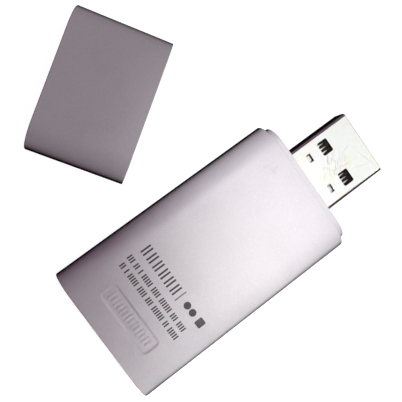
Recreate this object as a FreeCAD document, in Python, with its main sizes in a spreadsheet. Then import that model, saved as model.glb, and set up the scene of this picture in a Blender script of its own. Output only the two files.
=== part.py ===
"""Plug-in wireless module of an air conditioner, with its cap lying beside it.

A flat moulded stick with full-round sides carries a folded steel plug at one end. Two half shells close
round a circuit board, a shielded radio board stands on that board, and the pulled-off cap rests next to the
stick on the same surface. The stick lies along X with the plug at +X, the printed side up at +Z, and the
origin at the middle of its underside. Millimetres throughout.
"""

import FreeCAD, Part
import os

import Sketcher

document = FreeCAD.newDocument("wireless_module")
sheet = document.addObject("Spreadsheet::Sheet", "sizes")
sheet_rows = iter(range(1, 1000))


class Size:
    """A length or angle together with the sheet expression that it comes from."""

    def __init__(self, text, value):
        self.text = text
        self.value = float(value)

    def _joined(self, other, sign, result):
        return Size("(%s %s %s)" % (self.text, sign, other.text), result)

    def __add__(self, other):
        other = as_size(other)
        return self._joined(other, "+", self.value + other.value)

    def __sub__(self, other):
        other = as_size(other)
        return self._joined(other, "-", self.value - other.value)

    def __mul__(self, other):
        other = as_size(other)
        return self._joined(other, "*", self.value * other.value)

    def __truediv__(self, other):
        other = as_size(other)
        return self._joined(other, "/", self.value / other.value)

    def __neg__(self):
        return Size("(0 - %s)" % self.text, -self.value)


def as_size(number):
    """Lets a plain number stand beside sizes in a sum."""
    return number if isinstance(number, Size) else Size(repr(float(number)), number)


def size(alias, value):
    """Writes one driving dimension into the sheet and returns it."""
    row = next(sheet_rows)
    sheet.set("A%d" % row, alias)
    sheet.set("B%d" % row, str(value))
    sheet.setAlias("B%d" % row, alias)
    return Size("sizes.%s" % alias, value)


def bind(feature, prop, amount):
    """Ties one property of a feature to the sheet."""
    feature.setExpression(prop, as_size(amount).text)


ZERO = as_size(0)
THREE_STEPS = (-1, 0, 1)
SAME_PLACE = 0.001
LEAST_CUT = 1e-6

# Housing: a flat stick with full-round sides
body_length = size("body_length", 42.2)
body_width = size("body_width", 25.0)
body_height = size("body_height", 8.8)
shell_wall = size("shell_wall", 1.1)
end_wall = size("end_wall", 1.2)
front_wall = size("front_wall", 1.5)
rim_round = size("rim_round", 0.2)
shoulder_setback = size("shoulder_setback", 0.4)
shoulder_chamfer = size("shoulder_chamfer", 0.1)
collar_length = size("collar_length", 0.8)
collar_chamfer = size("collar_chamfer", 0.1)
foot_sink = size("foot_sink", 0.1)

# Joint line of the two half shells
lip_height = size("lip_height", 0.6)
lip_width = size("lip_width", 0.5)
lip_gap = size("lip_gap", 0.05)
lip_relief = size("lip_relief", 0.4)
shadow_depth = size("shadow_depth", 0.1)
shadow_height = size("shadow_height", 0.1)
boss_radius = size("boss_radius", 1.5)
boss_to_side = size("boss_to_side", 1.8)
far_boss_inset = size("far_boss_inset", 3.5)
near_boss_inset = size("near_boss_inset", 9.5)
pin_radius = size("pin_radius", 0.7)
pin_length = size("pin_length", 2.0)
pin_gap = size("pin_gap", 0.05)
pin_end_room = size("pin_end_room", 0.3)

# Recessed name plate field in the upper face, left bare
plate_inset = size("plate_inset", 3.75)
plate_length = size("plate_length", 3.35)
plate_width = size("plate_width", 12.2)
plate_round = size("plate_round", 0.8)
plate_depth = size("plate_depth", 0.3)
plate_draft = size("plate_draft", 50)

# Cap
cap_length = size("cap_length", 16.6)
cap_wall = size("cap_wall", 1.0)
cap_end_wall = size("cap_end_wall", 1.2)
cap_fit = size("cap_fit", 0.1)
cap_along = size("cap_along", 1.7)
cap_across = size("cap_across", 32.0)
cap_turn = size("cap_turn", -55.7)
grip_width = size("grip_width", 0.8)
grip_spacing = size("grip_spacing", 6.4)
grip_gap = size("grip_gap", 0.05)
grip_setback = size("grip_setback", 3.0)

# Folded steel plug
plug_width = size("plug_width", 12.0)
plug_height = size("plug_height", 4.5)
plug_sheet = size("plug_sheet", 0.3)
plug_corner = size("plug_corner", 0.6)
plug_reach = size("plug_reach", 12.25)
plug_length = size("plug_length", 18.75)
plug_gap = size("plug_gap", 0.05)
plug_chamfer = size("plug_chamfer", 0.1)
hole_to_tip = size("hole_to_tip", 5.3)
hole_length = size("hole_length", 2.0)
hole_width = size("hole_width", 2.5)
hole_spacing = size("hole_spacing", 6.35)
hole_round = size("hole_round", 0.3)
tab_to_tip = size("tab_to_tip", 9.25)
tab_length = size("tab_length", 0.75)
tab_window = size("tab_window", 1.45)
tab_width = size("tab_width", 1.0)
tab_dip = size("tab_dip", 0.3)
tab_front_gap = size("tab_front_gap", 0.2)
seam_gap = size("seam_gap", 0.1)
dovetail_to_tip = size("dovetail_to_tip", 6.6)
dovetail_root = size("dovetail_root", 1.3)
dovetail_flare = size("dovetail_flare", 0.3)
dovetail_depth = size("dovetail_depth", 1.2)
leg_reach = size("leg_reach", 2.6)
leg_pin_width = size("leg_pin_width", 1.2)
leg_arm_height = size("leg_arm_height", 1.6)
leg_pin_below = size("leg_pin_below", 0.6)
leg_slot_gap = size("leg_slot_gap", 0.15)

# Moulded insulator in the plug
core_gap = size("core_gap", 0.05)
core_setback = size("core_setback", 0.2)
tongue_free = size("tongue_free", 9.2)
tongue_setback = size("tongue_setback", 0.5)
tongue_drop = size("tongue_drop", 0.35)
tongue_thickness = size("tongue_thickness", 1.5)
rib_root = size("rib_root", 0.3)
rib_step = size("rib_step", 0.7)
rib_into_hole = size("rib_into_hole", 0.8)
tab_pocket_depth = size("tab_pocket_depth", 0.45)
tab_pocket_gap = size("tab_pocket_gap", 0.1)

# Contacts of the plug
contact_width = size("contact_width", 1.0)
contact_sheet = size("contact_sheet", 0.25)
contact_proud = size("contact_proud", 0.05)
contact_slot_gap = size("contact_slot_gap", 0.02)
contact_outer_spacing = size("contact_outer_spacing", 7.0)
contact_inner_spacing = size("contact_inner_spacing", 2.0)
contact_outer_setback = size("contact_outer_setback", 1.4)
contact_inner_setback = size("contact_inner_setback", 2.4)
contact_bend = size("contact_bend", 0.45)
contact_bend_start = size("contact_bend_start", 0.15)
tail_reach = size("tail_reach", 2.2)

# Carrier board and what holds it
board_standoff = size("board_standoff", 1.9)
board_thickness = size("board_thickness", 1.0)
board_side_gap = size("board_side_gap", 1.1)
board_end_gap = size("board_end_gap", 0.4)
board_plug_gap = size("board_plug_gap", 0.3)
board_notch_gap = size("board_notch_gap", 0.2)
shelf_thickness = size("shelf_thickness", 0.8)
shelf_side_gap = size("shelf_side_gap", 0.8)
rear_shelf_inset = size("rear_shelf_inset", 10.1)
front_shelf_inset = size("front_shelf_inset", 15.6)
press_width = size("press_width", 1.0)
cradle_inset = size("cradle_inset", 3.7)
cradle_thickness = size("cradle_thickness", 0.8)
cradle_width = size("cradle_width", 16.0)
stop_thickness = size("stop_thickness", 0.8)
stop_width = size("stop_width", 1.0)
stop_spacing = size("stop_spacing", 9.6)
stop_lift = size("stop_lift", 1.1)
stop_gap = size("stop_gap", 0.1)

# Radio board with its printed aerial and screening can
module_length = size("module_length", 16.0)
module_width = size("module_width", 14.4)
module_thickness = size("module_thickness", 0.8)
module_inset = size("module_inset", 0.2)
pad_radius = size("pad_radius", 0.3)
pad_pitch = size("pad_pitch", 2.0)
pad_inset = size("pad_inset", 1.2)
pad_count = size("pad_count", 6)
can_length = size("can_length", 11.6)
can_width = size("can_width", 12.6)
can_height = size("can_height", 1.9)
can_sheet = size("can_sheet", 0.2)
can_round = size("can_round", 0.5)
can_inset = size("can_inset", 0.5)
can_vent_radius = size("can_vent_radius", 0.5)
can_vent_spacing = size("can_vent_spacing", 5.0)
aerial_line = size("aerial_line", 0.5)
aerial_thickness = size("aerial_thickness", 0.1)
aerial_reach = size("aerial_reach", 2.9)
aerial_pitch = size("aerial_pitch", 1.6)
aerial_inset = size("aerial_inset", 0.5)
AERIAL_LEGS = 6

# Derived planes and places shared by several pieces
half_length = body_length / 2
half_width = body_width / 2
mid_height = body_height / 2
flat_half = half_width - mid_height
collar_inset = cap_wall + cap_fit
shoulder_along = half_length - shoulder_setback
plug_tip = half_length + collar_length + plug_reach
plug_rear = plug_tip - plug_length
plug_top = mid_height + plug_height / 2
plug_bottom = mid_height - plug_height / 2
board_bottom = shell_wall + board_standoff
board_top = board_bottom + board_thickness
board_rear = -half_length + end_wall + board_end_gap
board_front = plug_rear - board_plug_gap
board_width = body_width - (shell_wall + board_side_gap) * 2
shelf_width = board_width - shelf_side_gap * 2
boss_across = half_width - boss_to_side - boss_radius
far_boss_along = -half_length + far_boss_inset
near_boss_along = half_length - near_boss_inset
rear_shelf_along = -half_length + rear_shelf_inset
front_shelf_along = half_length - front_shelf_inset
cradle_along = half_length - front_wall - cradle_inset + cradle_thickness
ceiling = body_height - shell_wall
tongue_top = plug_top - plug_sheet - tongue_drop
tongue_bottom = tongue_top - tongue_thickness
contact_low = tongue_bottom - contact_proud
module_rear = board_rear + module_inset
module_front = module_rear + module_length
module_top = board_top + module_thickness
can_front = module_front - can_inset
can_rear = can_front - can_length


# Sketching helpers
def origin_feature(body, role):
    """Finds one of a body's own base planes or axes."""
    return [item for item in body.Origin.OriginFeatures if item.Role == role][0]


def new_body(label):
    """Starts a sub-part."""
    body = document.addObject("PartDesign::Body", label)
    body.Label = label
    return body


def new_sketch(body, role, name, offset=None):
    """Places an empty sketch on a base plane, moved along the plane's normal."""
    sketch = body.newObject("Sketcher::SketchObject", name)
    sketch.AttachmentSupport = [(origin_feature(body, role), "")]
    sketch.MapMode = "FlatFace"
    if offset is not None:
        bind(sketch, "AttachmentOffset.Base.z", offset)
    return sketch


def flat(x, y):
    """The sketch point at the present values of two sizes."""
    return FreeCAD.Vector(as_size(x).value, as_size(y).value, 0)


def dimension(sketch, kind, geometry, point, amount):
    """Adds one dimension from the sketch origin and ties it to the sheet."""
    amount = as_size(amount)
    index = sketch.addConstraint(Sketcher.Constraint(kind, -1, 1, geometry, point, amount.value))
    name = "%s_%d" % ("along" if kind == "DistanceX" else "up", index)
    sketch.renameConstraint(index, name)
    sketch.setExpression("Constraints.%s" % name, amount.text)


def pin_point(sketch, geometry, point, x, y):
    """Fixes a point of a sketch by its two distances from the origin."""
    dimension(sketch, "DistanceX", geometry, point, x)
    dimension(sketch, "DistanceY", geometry, point, y)


def polygon(sketch, corners):
    """Closed outline through the given corners."""
    first = sketch.GeometryCount
    count = len(corners)
    for index in range(count):
        start = flat(*corners[index])
        end = flat(*corners[(index + 1) % count])
        sketch.addGeometry(Part.LineSegment(start, end))
    for index in range(count):
        following = first + (index + 1) % count
        sketch.addConstraint(Sketcher.Constraint("Coincident", first + index, 2, following, 1))
        pin_point(sketch, first + index, 1, *corners[index])


def rectangle(sketch, x_low, x_high, y_low, y_high):
    """Closed upright rectangle."""
    polygon(sketch, [(x_low, y_low), (x_high, y_low), (x_high, y_high), (x_low, y_high)])


def circle(sketch, x, y, radius):
    """Full circle with its centre and radius fixed."""
    index = sketch.addGeometry(Part.Circle(flat(x, y), FreeCAD.Vector(0, 0, 1), radius.value))
    pin_point(sketch, index, 3, x, y)
    ring = sketch.addConstraint(Sketcher.Constraint("Radius", index, radius.value))
    name = "round_%d" % ring
    sketch.renameConstraint(ring, name)
    sketch.setExpression("Constraints.%s" % name, radius.text)


def corner_arc(sketch, centre, radius, before, after, turn):
    """Arc from the end of one line to the start of the next, anticlockwise from turn[0] to turn[1]."""
    ring = Part.Circle(flat(*centre), FreeCAD.Vector(0, 0, 1), radius.value)
    index = sketch.addGeometry(Part.ArcOfCircle(ring, turn[0], turn[1]))
    sketch.addConstraint(Sketcher.Constraint("Coincident", before, 2, index, 1))
    sketch.addConstraint(Sketcher.Constraint("Coincident", after, 1, index, 2))
    dimension(sketch, "DistanceX", index, 3, centre[0])


RIGHT_ANGLE = 1.5707963267948966


def rounded_rectangle(sketch, x_low, x_high, y_low, y_high, radius):
    """Closed upright rectangle with four equal round corners."""
    first = sketch.GeometryCount
    sides = [
        ((x_low + radius, y_low), (x_high - radius, y_low)),
        ((x_high, y_low + radius), (x_high, y_high - radius)),
        ((x_high - radius, y_high), (x_low + radius, y_high)),
        ((x_low, y_high - radius), (x_low, y_low + radius)),
    ]
    centres = [
        (x_high - radius, y_low + radius),
        (x_high - radius, y_high - radius),
        (x_low + radius, y_high - radius),
        (x_low + radius, y_low + radius),
    ]
    for start, end in sides:
        index = sketch.addGeometry(Part.LineSegment(flat(*start), flat(*end)))
        pin_point(sketch, index, 1, *start)
        pin_point(sketch, index, 2, *end)
    for number, centre in enumerate(centres):
        turn = ((number - 1) * RIGHT_ANGLE, number * RIGHT_ANGLE)
        corner_arc(sketch, centre, radius, first + number, first + (number + 1) % 4, turn)


def stadium(sketch, inset):
    """Cross-section of the stick: flat top and bottom joined by half circles, pulled in by inset."""
    radius = mid_height - inset
    low = inset + ZERO
    high = body_height - inset
    bottom = sketch.addGeometry(Part.LineSegment(flat(-flat_half, low), flat(flat_half, low)))
    top = sketch.addGeometry(Part.LineSegment(flat(flat_half, high), flat(-flat_half, high)))
    pin_point(sketch, bottom, 1, -flat_half, low)
    pin_point(sketch, bottom, 2, flat_half, low)
    pin_point(sketch, top, 1, flat_half, high)
    pin_point(sketch, top, 2, -flat_half, high)
    corner_arc(sketch, (flat_half, mid_height), radius, bottom, top, (-RIGHT_ANGLE, RIGHT_ANGLE))
    corner_arc(sketch, (-flat_half, mid_height), radius, top, bottom, (RIGHT_ANGLE, 3 * RIGHT_ANGLE))


# Feature helpers
def pad(body, sketch, name, length, reverse=False):
    """Grows a sketch along its normal, or against it."""
    feature = body.newObject("PartDesign::Pad", name)
    feature.Profile = sketch
    feature.Reversed = reverse
    bind(feature, "Length", length)
    return feature


def pocket(body, sketch, name, depth=None, reverse=False):
    """Cuts a sketch against its normal, or along it, through everything where no depth is given."""
    feature = body.newObject("PartDesign::Pocket", name)
    feature.Profile = sketch
    feature.Reversed = reverse
    if depth is None:
        feature.Type = "ThroughAll"
    else:
        bind(feature, "Length", depth)
    return feature


def edges_at(feature, along):
    """Names the edges that lie wholly in the plane across the stick at one distance along it."""
    document.recompute()
    names = []
    for number, edge in enumerate(feature.Shape.Edges, 1):
        box = edge.BoundBox
        if abs(box.XMin - along.value) < SAME_PLACE and abs(box.XMax - along.value) < SAME_PLACE:
            names.append("Edge%d" % number)
    return names


def fillet(body, base, name, radius, edges):
    """Rounds chosen edges of a feature."""
    feature = body.newObject("PartDesign::Fillet", name)
    feature.Base = (base, edges)
    bind(feature, "Radius", radius)
    return feature


def chamfer(body, base, name, width, edges):
    """Breaks chosen edges of a feature."""
    feature = body.newObject("PartDesign::Chamfer", name)
    feature.Base = (base, edges)
    bind(feature, "Size", width)
    return feature


def signs():
    """The two sides of the stick's centre plane."""
    return (1, -1)


def ordered(first, second):
    """Two sizes, the lower one first."""
    return (first, second) if first.value < second.value else (second, first)


# Housing
def stick_blank(body):
    """Solid stick with its collar, before it is hollowed and halved."""
    section = new_sketch(body, "YZ_Plane", "outer_section", -half_length)
    stadium(section, ZERO)
    blank = pad(body, section, "outer_form", body_length - shoulder_setback)
    rounded = fillet(body, blank, "rim_rounding", rim_round, edges_at(blank, -half_length))
    chamfer(body, rounded, "shoulder_edge", shoulder_chamfer, edges_at(rounded, shoulder_along))
    collar_section = new_sketch(body, "YZ_Plane", "collar_section", shoulder_along)
    stadium(collar_section, collar_inset)
    collar = pad(body, collar_section, "collar", shoulder_setback + collar_length)
    chamfer(body, collar, "collar_edge", collar_chamfer, edges_at(collar, half_length + collar_length))


def hollow(body):
    """Takes out the inside, whose section follows the outside at the wall's thickness."""
    section = new_sketch(body, "YZ_Plane", "inner_section", -half_length + end_wall)
    stadium(section, shell_wall)
    pocket(body, section, "inside", body_length - end_wall - front_wall, reverse=True)


def plug_window(body):
    """Opening for the plug through the cradle, the front wall and the collar."""
    section = new_sketch(body, "YZ_Plane", "window_section", cradle_along - cradle_thickness - plug_gap)
    rounded_rectangle(
        section,
        -(plug_width / 2) - plug_gap,
        plug_width / 2 + plug_gap,
        plug_bottom - plug_gap,
        plug_top + plug_gap,
        plug_corner + plug_gap,
    )
    pocket(body, section, "plug_window", reverse=True)


def lip_outline(sketch, outer_inset, inner_inset, end_gap):
    """U-shaped strip that runs along both sides and round the far end, seen from above."""
    outer_side = half_width - outer_inset
    inner_side = half_width - shell_wall - inner_inset
    outer_end = -half_length + end_wall - shell_wall + outer_inset
    inner_end = -half_length + end_wall + inner_inset
    front = half_length - front_wall - end_gap
    polygon(
        sketch,
        [
            (front, -outer_side),
            (front, -inner_side),
            (inner_end, -inner_side),
            (inner_end, inner_side),
            (front, inner_side),
            (front, outer_side),
            (outer_end, outer_side),
            (outer_end, -outer_side),
        ],
    )


def boss_circles(sketch, radius):
    """One circle at each of the four bosses."""
    for along in (far_boss_along, near_boss_along):
        for side in signs():
            circle(sketch, along, boss_across * side, radius)


def cross_rib(body, name, along, thickness, width, low, high):
    """Upright rib across the stick."""
    plan = new_sketch(body, "XY_Plane", name + "_plan", low)
    rectangle(plan, along, along + thickness, -(width / 2), width / 2)
    pad(body, plan, name, high - low)


def paired_posts(body, name, along, thickness, across, width, low, high):
    """Two upright posts, one on each side of the centre plane."""
    plan = new_sketch(body, "XY_Plane", name + "_plan", low)
    for side in signs():
        near, far = ordered((across - width / 2) * side, (across + width / 2) * side)
        rectangle(plan, along, along + thickness, near, far)
    pad(body, plan, name, high - low)


def shadow_line(body, upwards):
    """Shallow step along the outer edge of the joint line, down both sides and round the far end."""
    plan = new_sketch(body, "XY_Plane", "shadow_plan", mid_height)
    front = half_length + collar_length + plug_gap
    rectangle(plan, -front, front + plug_gap, -half_width - plug_gap, half_width + plug_gap)
    side = half_width - shadow_depth
    rounded_rectangle(plan, -half_length + shadow_depth, front, -side, side, rim_round - shadow_depth)
    pocket(body, plan, "shadow_line", shadow_height, reverse=upwards)


def cut_half(body, keep_upper):
    """Removes everything on the other side of the joint line."""
    plan = new_sketch(body, "XY_Plane", "joint_plan", mid_height)
    reach = half_length + collar_length + plug_gap
    rectangle(plan, -reach, reach, -half_width - plug_gap, half_width + plug_gap)
    pocket(body, plan, "joint_cut", reverse=not keep_upper)
    shadow_line(body, upwards=keep_upper)


def make_top_shell():
    """Upper half shell with the name plate field, the pins and the posts that press on the board."""
    body = new_body("top_shell")
    stick_blank(body)
    hollow(body)
    roof = ceiling + foot_sink
    cradle_rear = cradle_along - cradle_thickness
    cross_rib(body, "cradle", cradle_rear, cradle_thickness, cradle_width, mid_height, roof)
    plug_window(body)
    cut_half(body, keep_upper=True)
    groove = new_sketch(body, "XY_Plane", "groove_plan", mid_height)
    lip_outline(groove, shell_wall - lip_width - lip_gap, lip_relief, ZERO)
    pocket(body, groove, "lip_groove", lip_height + lip_gap, reverse=True)
    posts = new_sketch(body, "XY_Plane", "boss_plan", mid_height)
    boss_circles(posts, boss_radius)
    pad(body, posts, "bosses", roof - mid_height)
    pins = new_sketch(body, "XY_Plane", "pin_plan", mid_height)
    boss_circles(pins, pin_radius)
    pad(body, pins, "pins", pin_length, reverse=True)
    press_across = shelf_width / 2
    for name, along in (("rear_press", rear_shelf_along), ("front_press", front_shelf_along)):
        paired_posts(body, name, along, shelf_thickness, press_across, press_width, board_top, roof)
    paired_posts(
        body,
        "plug_stop",
        plug_rear - stop_gap - stop_thickness,
        stop_thickness,
        stop_spacing / 2,
        stop_width,
        mid_height + stop_lift,
        roof,
    )
    plate = new_sketch(body, "XY_Plane", "plate_plan", body_height)
    plate_start = -half_length + plate_inset
    plate_half = plate_width / 2
    rounded_rectangle(plate, plate_start, plate_start + plate_length, -plate_half, plate_half, plate_round)
    field = pocket(body, plate, "plate_field", plate_depth)
    bind(field, "TaperAngle", -plate_draft)
    return body


def make_bottom_shell():
    """Lower half shell with the lip, the bored bosses and the shelves under the board."""
    body = new_body("bottom_shell")
    stick_blank(body)
    hollow(body)
    floor = shell_wall - foot_sink
    cradle_rear = cradle_along - cradle_thickness
    cross_rib(body, "cradle", cradle_rear, cradle_thickness, cradle_width, floor, mid_height)
    plug_window(body)
    cut_half(body, keep_upper=False)
    lip = new_sketch(body, "XY_Plane", "lip_plan", mid_height)
    lip_outline(lip, shell_wall - lip_width, ZERO, lip_gap)
    pad(body, lip, "lip", lip_height)
    posts = new_sketch(body, "XY_Plane", "boss_plan", floor)
    boss_circles(posts, boss_radius)
    pad(body, posts, "bosses", mid_height - floor)
    bores = new_sketch(body, "XY_Plane", "bore_plan", mid_height)
    boss_circles(bores, pin_radius + pin_gap)
    pocket(body, bores, "pin_bores", pin_length + pin_end_room)
    cross_rib(body, "rear_shelf", rear_shelf_along, shelf_thickness, shelf_width, floor, board_bottom)
    cross_rib(body, "front_shelf", front_shelf_along, shelf_thickness, shelf_width, floor, board_bottom)
    return body


def make_cap():
    """Pulled-off cap: the stick's section carried on, hollow, with four ribs that grip the plug."""
    body = new_body("cap")
    half_cap = cap_length / 2
    section = new_sketch(body, "YZ_Plane", "outer_section", -half_cap)
    stadium(section, ZERO)
    blank = pad(body, section, "outer_form", cap_length)
    fillet(body, blank, "end_rounding", rim_round, edges_at(blank, -half_cap))
    inner = new_sketch(body, "YZ_Plane", "inner_section", -half_cap + cap_end_wall)
    stadium(inner, cap_wall)
    pocket(body, inner, "inside", cap_length - cap_end_wall, reverse=True)
    grips = (
        ("floor_grips", cap_wall - foot_sink, plug_bottom - grip_gap),
        ("roof_grips", plug_top + grip_gap, body_height - cap_wall + foot_sink),
    )
    grip_start = -half_cap + cap_end_wall - foot_sink
    grip_run = half_cap - grip_setback - grip_start
    for name, low, high in grips:
        paired_posts(body, name, grip_start, grip_run, grip_spacing / 2, grip_width, low, high)
    body.Placement = FreeCAD.Placement(
        FreeCAD.Vector(cap_along.value, cap_across.value, 0),
        FreeCAD.Rotation(FreeCAD.Vector(0, 0, 1), cap_turn.value),
    )
    bind(body, "Placement.Base.x", cap_along)
    bind(body, "Placement.Base.y", cap_across)
    bind(body, "Placement.Rotation.Angle", cap_turn)
    return body


# Plug
def latch_windows(sketch):
    """The two latch holes of one plug face, seen from above."""
    front = plug_tip - hole_to_tip
    rear = front - hole_length
    half_hole = hole_width / 2
    for side in signs():
        middle = hole_spacing / 2 * side
        rounded_rectangle(sketch, rear, front, middle - half_hole, middle + half_hole, hole_round)


def dovetail_slit(sketch):
    """Seam of the folded sheet: two straight slits and a dovetail that locks them."""
    half_gap = seam_gap / 2
    front = plug_tip - dovetail_to_tip
    rear = front - dovetail_root
    rectangle(sketch, plug_rear - seam_gap, rear + seam_gap, -half_gap, half_gap)
    rectangle(sketch, front - seam_gap, plug_tip + seam_gap, -half_gap, half_gap)


def dovetail_frame(sketch):
    """Three-sided slit round the dovetail, whose open side lies on the seam."""
    front = plug_tip - dovetail_to_tip
    rear = front - dovetail_root
    flare_front = front + dovetail_flare
    flare_rear = rear - dovetail_flare
    near_side = -(seam_gap / 2)
    depth = dovetail_depth
    polygon(
        sketch,
        [
            (rear, near_side),
            (rear + seam_gap, near_side),
            (flare_rear + seam_gap, depth - seam_gap),
            (flare_front - seam_gap, depth - seam_gap),
            (front - seam_gap, near_side),
            (front, near_side),
            (flare_front, depth),
            (flare_rear, depth),
        ],
    )


def make_plug_shell():
    """Sheet steel tube with latch holes, pressed-in tabs, a locked seam and two board legs."""
    body = new_body("plug_shell")
    section = new_sketch(body, "YZ_Plane", "tube_section", plug_rear)
    half_plug = plug_width / 2
    rounded_rectangle(section, -half_plug, half_plug, plug_bottom, plug_top, plug_corner)
    rounded_rectangle(
        section,
        -half_plug + plug_sheet,
        half_plug - plug_sheet,
        plug_bottom + plug_sheet,
        plug_top - plug_sheet,
        plug_corner - plug_sheet,
    )
    tube = pad(body, section, "tube", plug_length)
    mouth = edges_at(tube, plug_tip)
    outer = [name for name in mouth if outer_loop(tube.Shape.getElement(name))]
    chamfer(body, tube, "mouth_edge", plug_chamfer, outer)
    holes = new_sketch(body, "XY_Plane", "latch_plan")
    latch_windows(holes)
    pocket(body, holes, "latch_holes", reverse=True)
    tab_front = plug_tip - tab_to_tip
    tab_rear = tab_front - tab_length
    windows = new_sketch(body, "XY_Plane", "tab_window_plan")
    for side in signs():
        middle = hole_spacing / 2 * side
        rectangle(windows, tab_rear, tab_front, middle - tab_window / 2, middle + tab_window / 2)
    pocket(body, windows, "tab_windows", reverse=True)
    tab_end = tab_front - tab_front_gap
    for side in signs():
        middle = hole_spacing / 2 * side
        start = -(middle + tab_width / 2)
        for face, surface, inward in (("upper", plug_top, -1), ("lower", plug_bottom, 1)):
            inner = surface + plug_sheet * inward
            dip = tab_dip * inward
            profile = new_sketch(body, "XZ_Plane", "%s_tab_profile" % face, start)
            root = [(tab_rear, surface), (tab_rear, inner)]
            tip = [(tab_end, inner + dip), (tab_end, surface + dip)]
            polygon(profile, root + tip)
            pad(body, profile, "%s_tab" % face, tab_width)
    seam = new_sketch(body, "XY_Plane", "seam_plan", mid_height)
    dovetail_slit(seam)
    pocket(body, seam, "seam_slit")
    lock = new_sketch(body, "XY_Plane", "seam_lock_plan", mid_height)
    dovetail_frame(lock)
    pocket(body, lock, "seam_lock")
    for side in signs():
        start = -half_plug if side > 0 else half_plug - plug_sheet
        leg = new_sketch(body, "XZ_Plane", "leg_profile", start)
        leg_rear = plug_rear - leg_reach
        polygon(
            leg,
            [
                (plug_rear, board_top),
                (plug_rear, board_top + leg_arm_height),
                (leg_rear, board_top + leg_arm_height),
                (leg_rear, board_bottom - leg_pin_below),
                (leg_rear + leg_pin_width, board_bottom - leg_pin_below),
                (leg_rear + leg_pin_width, board_top),
            ],
        )
        pad(body, leg, "leg", plug_sheet)
    return body


def outer_loop(edge):
    """True for an edge that lies on the outer skin of the plug tube."""
    middle = edge.valueAt((edge.FirstParameter + edge.LastParameter) / 2)
    across = abs(middle.y) / (plug_width.value / 2)
    up = abs(middle.z - mid_height.value) / (plug_height.value / 2)
    inner_across = 1 - plug_sheet.value / plug_width.value
    inner_up = 1 - plug_sheet.value / plug_height.value
    return across > inner_across or up > inner_up


def contact_places():
    """Name, distance from the centre plane and setback from the plug's mouth of each contact."""
    return (
        ("contact_power", -(contact_outer_spacing / 2), contact_outer_setback),
        ("contact_data_minus", -(contact_inner_spacing / 2), contact_inner_setback),
        ("contact_data_plus", contact_inner_spacing / 2, contact_inner_setback),
        ("contact_ground", contact_outer_spacing / 2, contact_outer_setback),
    )


def make_plug_core():
    """Moulded insulator: rear block, tongue under the upper face, ribs and contact slots."""
    body = new_body("plug_core")
    half_core = plug_width / 2 - plug_sheet - core_gap
    block_low = plug_bottom + plug_sheet + core_gap
    block_high = plug_top - plug_sheet - core_gap
    block_rear = plug_rear + core_setback
    block_front = plug_tip - tongue_free
    block_section = new_sketch(body, "YZ_Plane", "block_section", block_rear)
    rounded_rectangle(
        block_section, -half_core, half_core, block_low, block_high, plug_corner - plug_sheet - core_gap)
    pad(body, block_section, "block", block_front - block_rear)
    tongue_section = new_sketch(body, "YZ_Plane", "tongue_section", block_front)
    rectangle(tongue_section, -half_core, half_core, tongue_bottom, tongue_top)
    pad(body, tongue_section, "tongue", tongue_free - tongue_setback)
    ribs = new_sketch(body, "XY_Plane", "rib_plan", tongue_top)
    rib_front = plug_tip - hole_to_tip - hole_length + rib_into_hole
    for side in signs():
        for step in THREE_STEPS:
            middle = hole_spacing / 2 * side + rib_step * step
            root_low = (block_front, middle - rib_root / 2)
            root_high = (block_front, middle + rib_root / 2)
            polygon(ribs, [root_low, (rib_front, middle), root_high])
    pad(body, ribs, "ribs", block_high - tongue_top)
    tab_front = plug_tip - tab_to_tip
    tab_rear = tab_front - tab_length
    pockets = (
        ("upper_tab_pocket", block_high - tab_pocket_depth),
        ("lower_tab_pocket", block_low - core_gap),
    )
    for name, low in pockets:
        plan = new_sketch(body, "XY_Plane", name + "_plan", low)
        for side in signs():
            middle = hole_spacing / 2 * side
            half_pocket = tab_window / 2 + tab_pocket_gap
            pocket_front = tab_front + tab_pocket_gap
            rectangle(plan, tab_rear, pocket_front, middle - half_pocket, middle + half_pocket)
        pocket(body, plan, name, tab_pocket_depth + core_gap, reverse=True)
    for name, across, setback in contact_places():
        section = new_sketch(body, "YZ_Plane", "slot_section", block_rear)
        half_slot = contact_width / 2 + contact_slot_gap
        rectangle(
            section, across - half_slot, across + half_slot,
            contact_low - contact_slot_gap, contact_low + contact_sheet + contact_slot_gap)
        pocket(body, section, "slot", plug_tip - setback + contact_slot_gap - block_rear, reverse=True)
    return body


def make_contact(label, across, setback):
    """Flat spring strip under the tongue, cranked down to the board behind the plug."""
    body = new_body(label)
    profile = new_sketch(body, "XZ_Plane", "strip_profile", -(across + contact_width / 2))
    tail_end = plug_rear - tail_reach
    bend_high = plug_rear - contact_bend_start
    bend_low = bend_high - contact_bend
    front = plug_tip - setback
    polygon(
        profile,
        [
            (tail_end, board_top),
            (bend_low, board_top),
            (bend_high, contact_low),
            (front, contact_low),
            (front, contact_low + contact_sheet),
            (bend_high, contact_low + contact_sheet),
            (bend_low, board_top + contact_sheet),
            (tail_end, board_top + contact_sheet),
        ],
    )
    pad(body, profile, "strip", contact_width)
    return body


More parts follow.
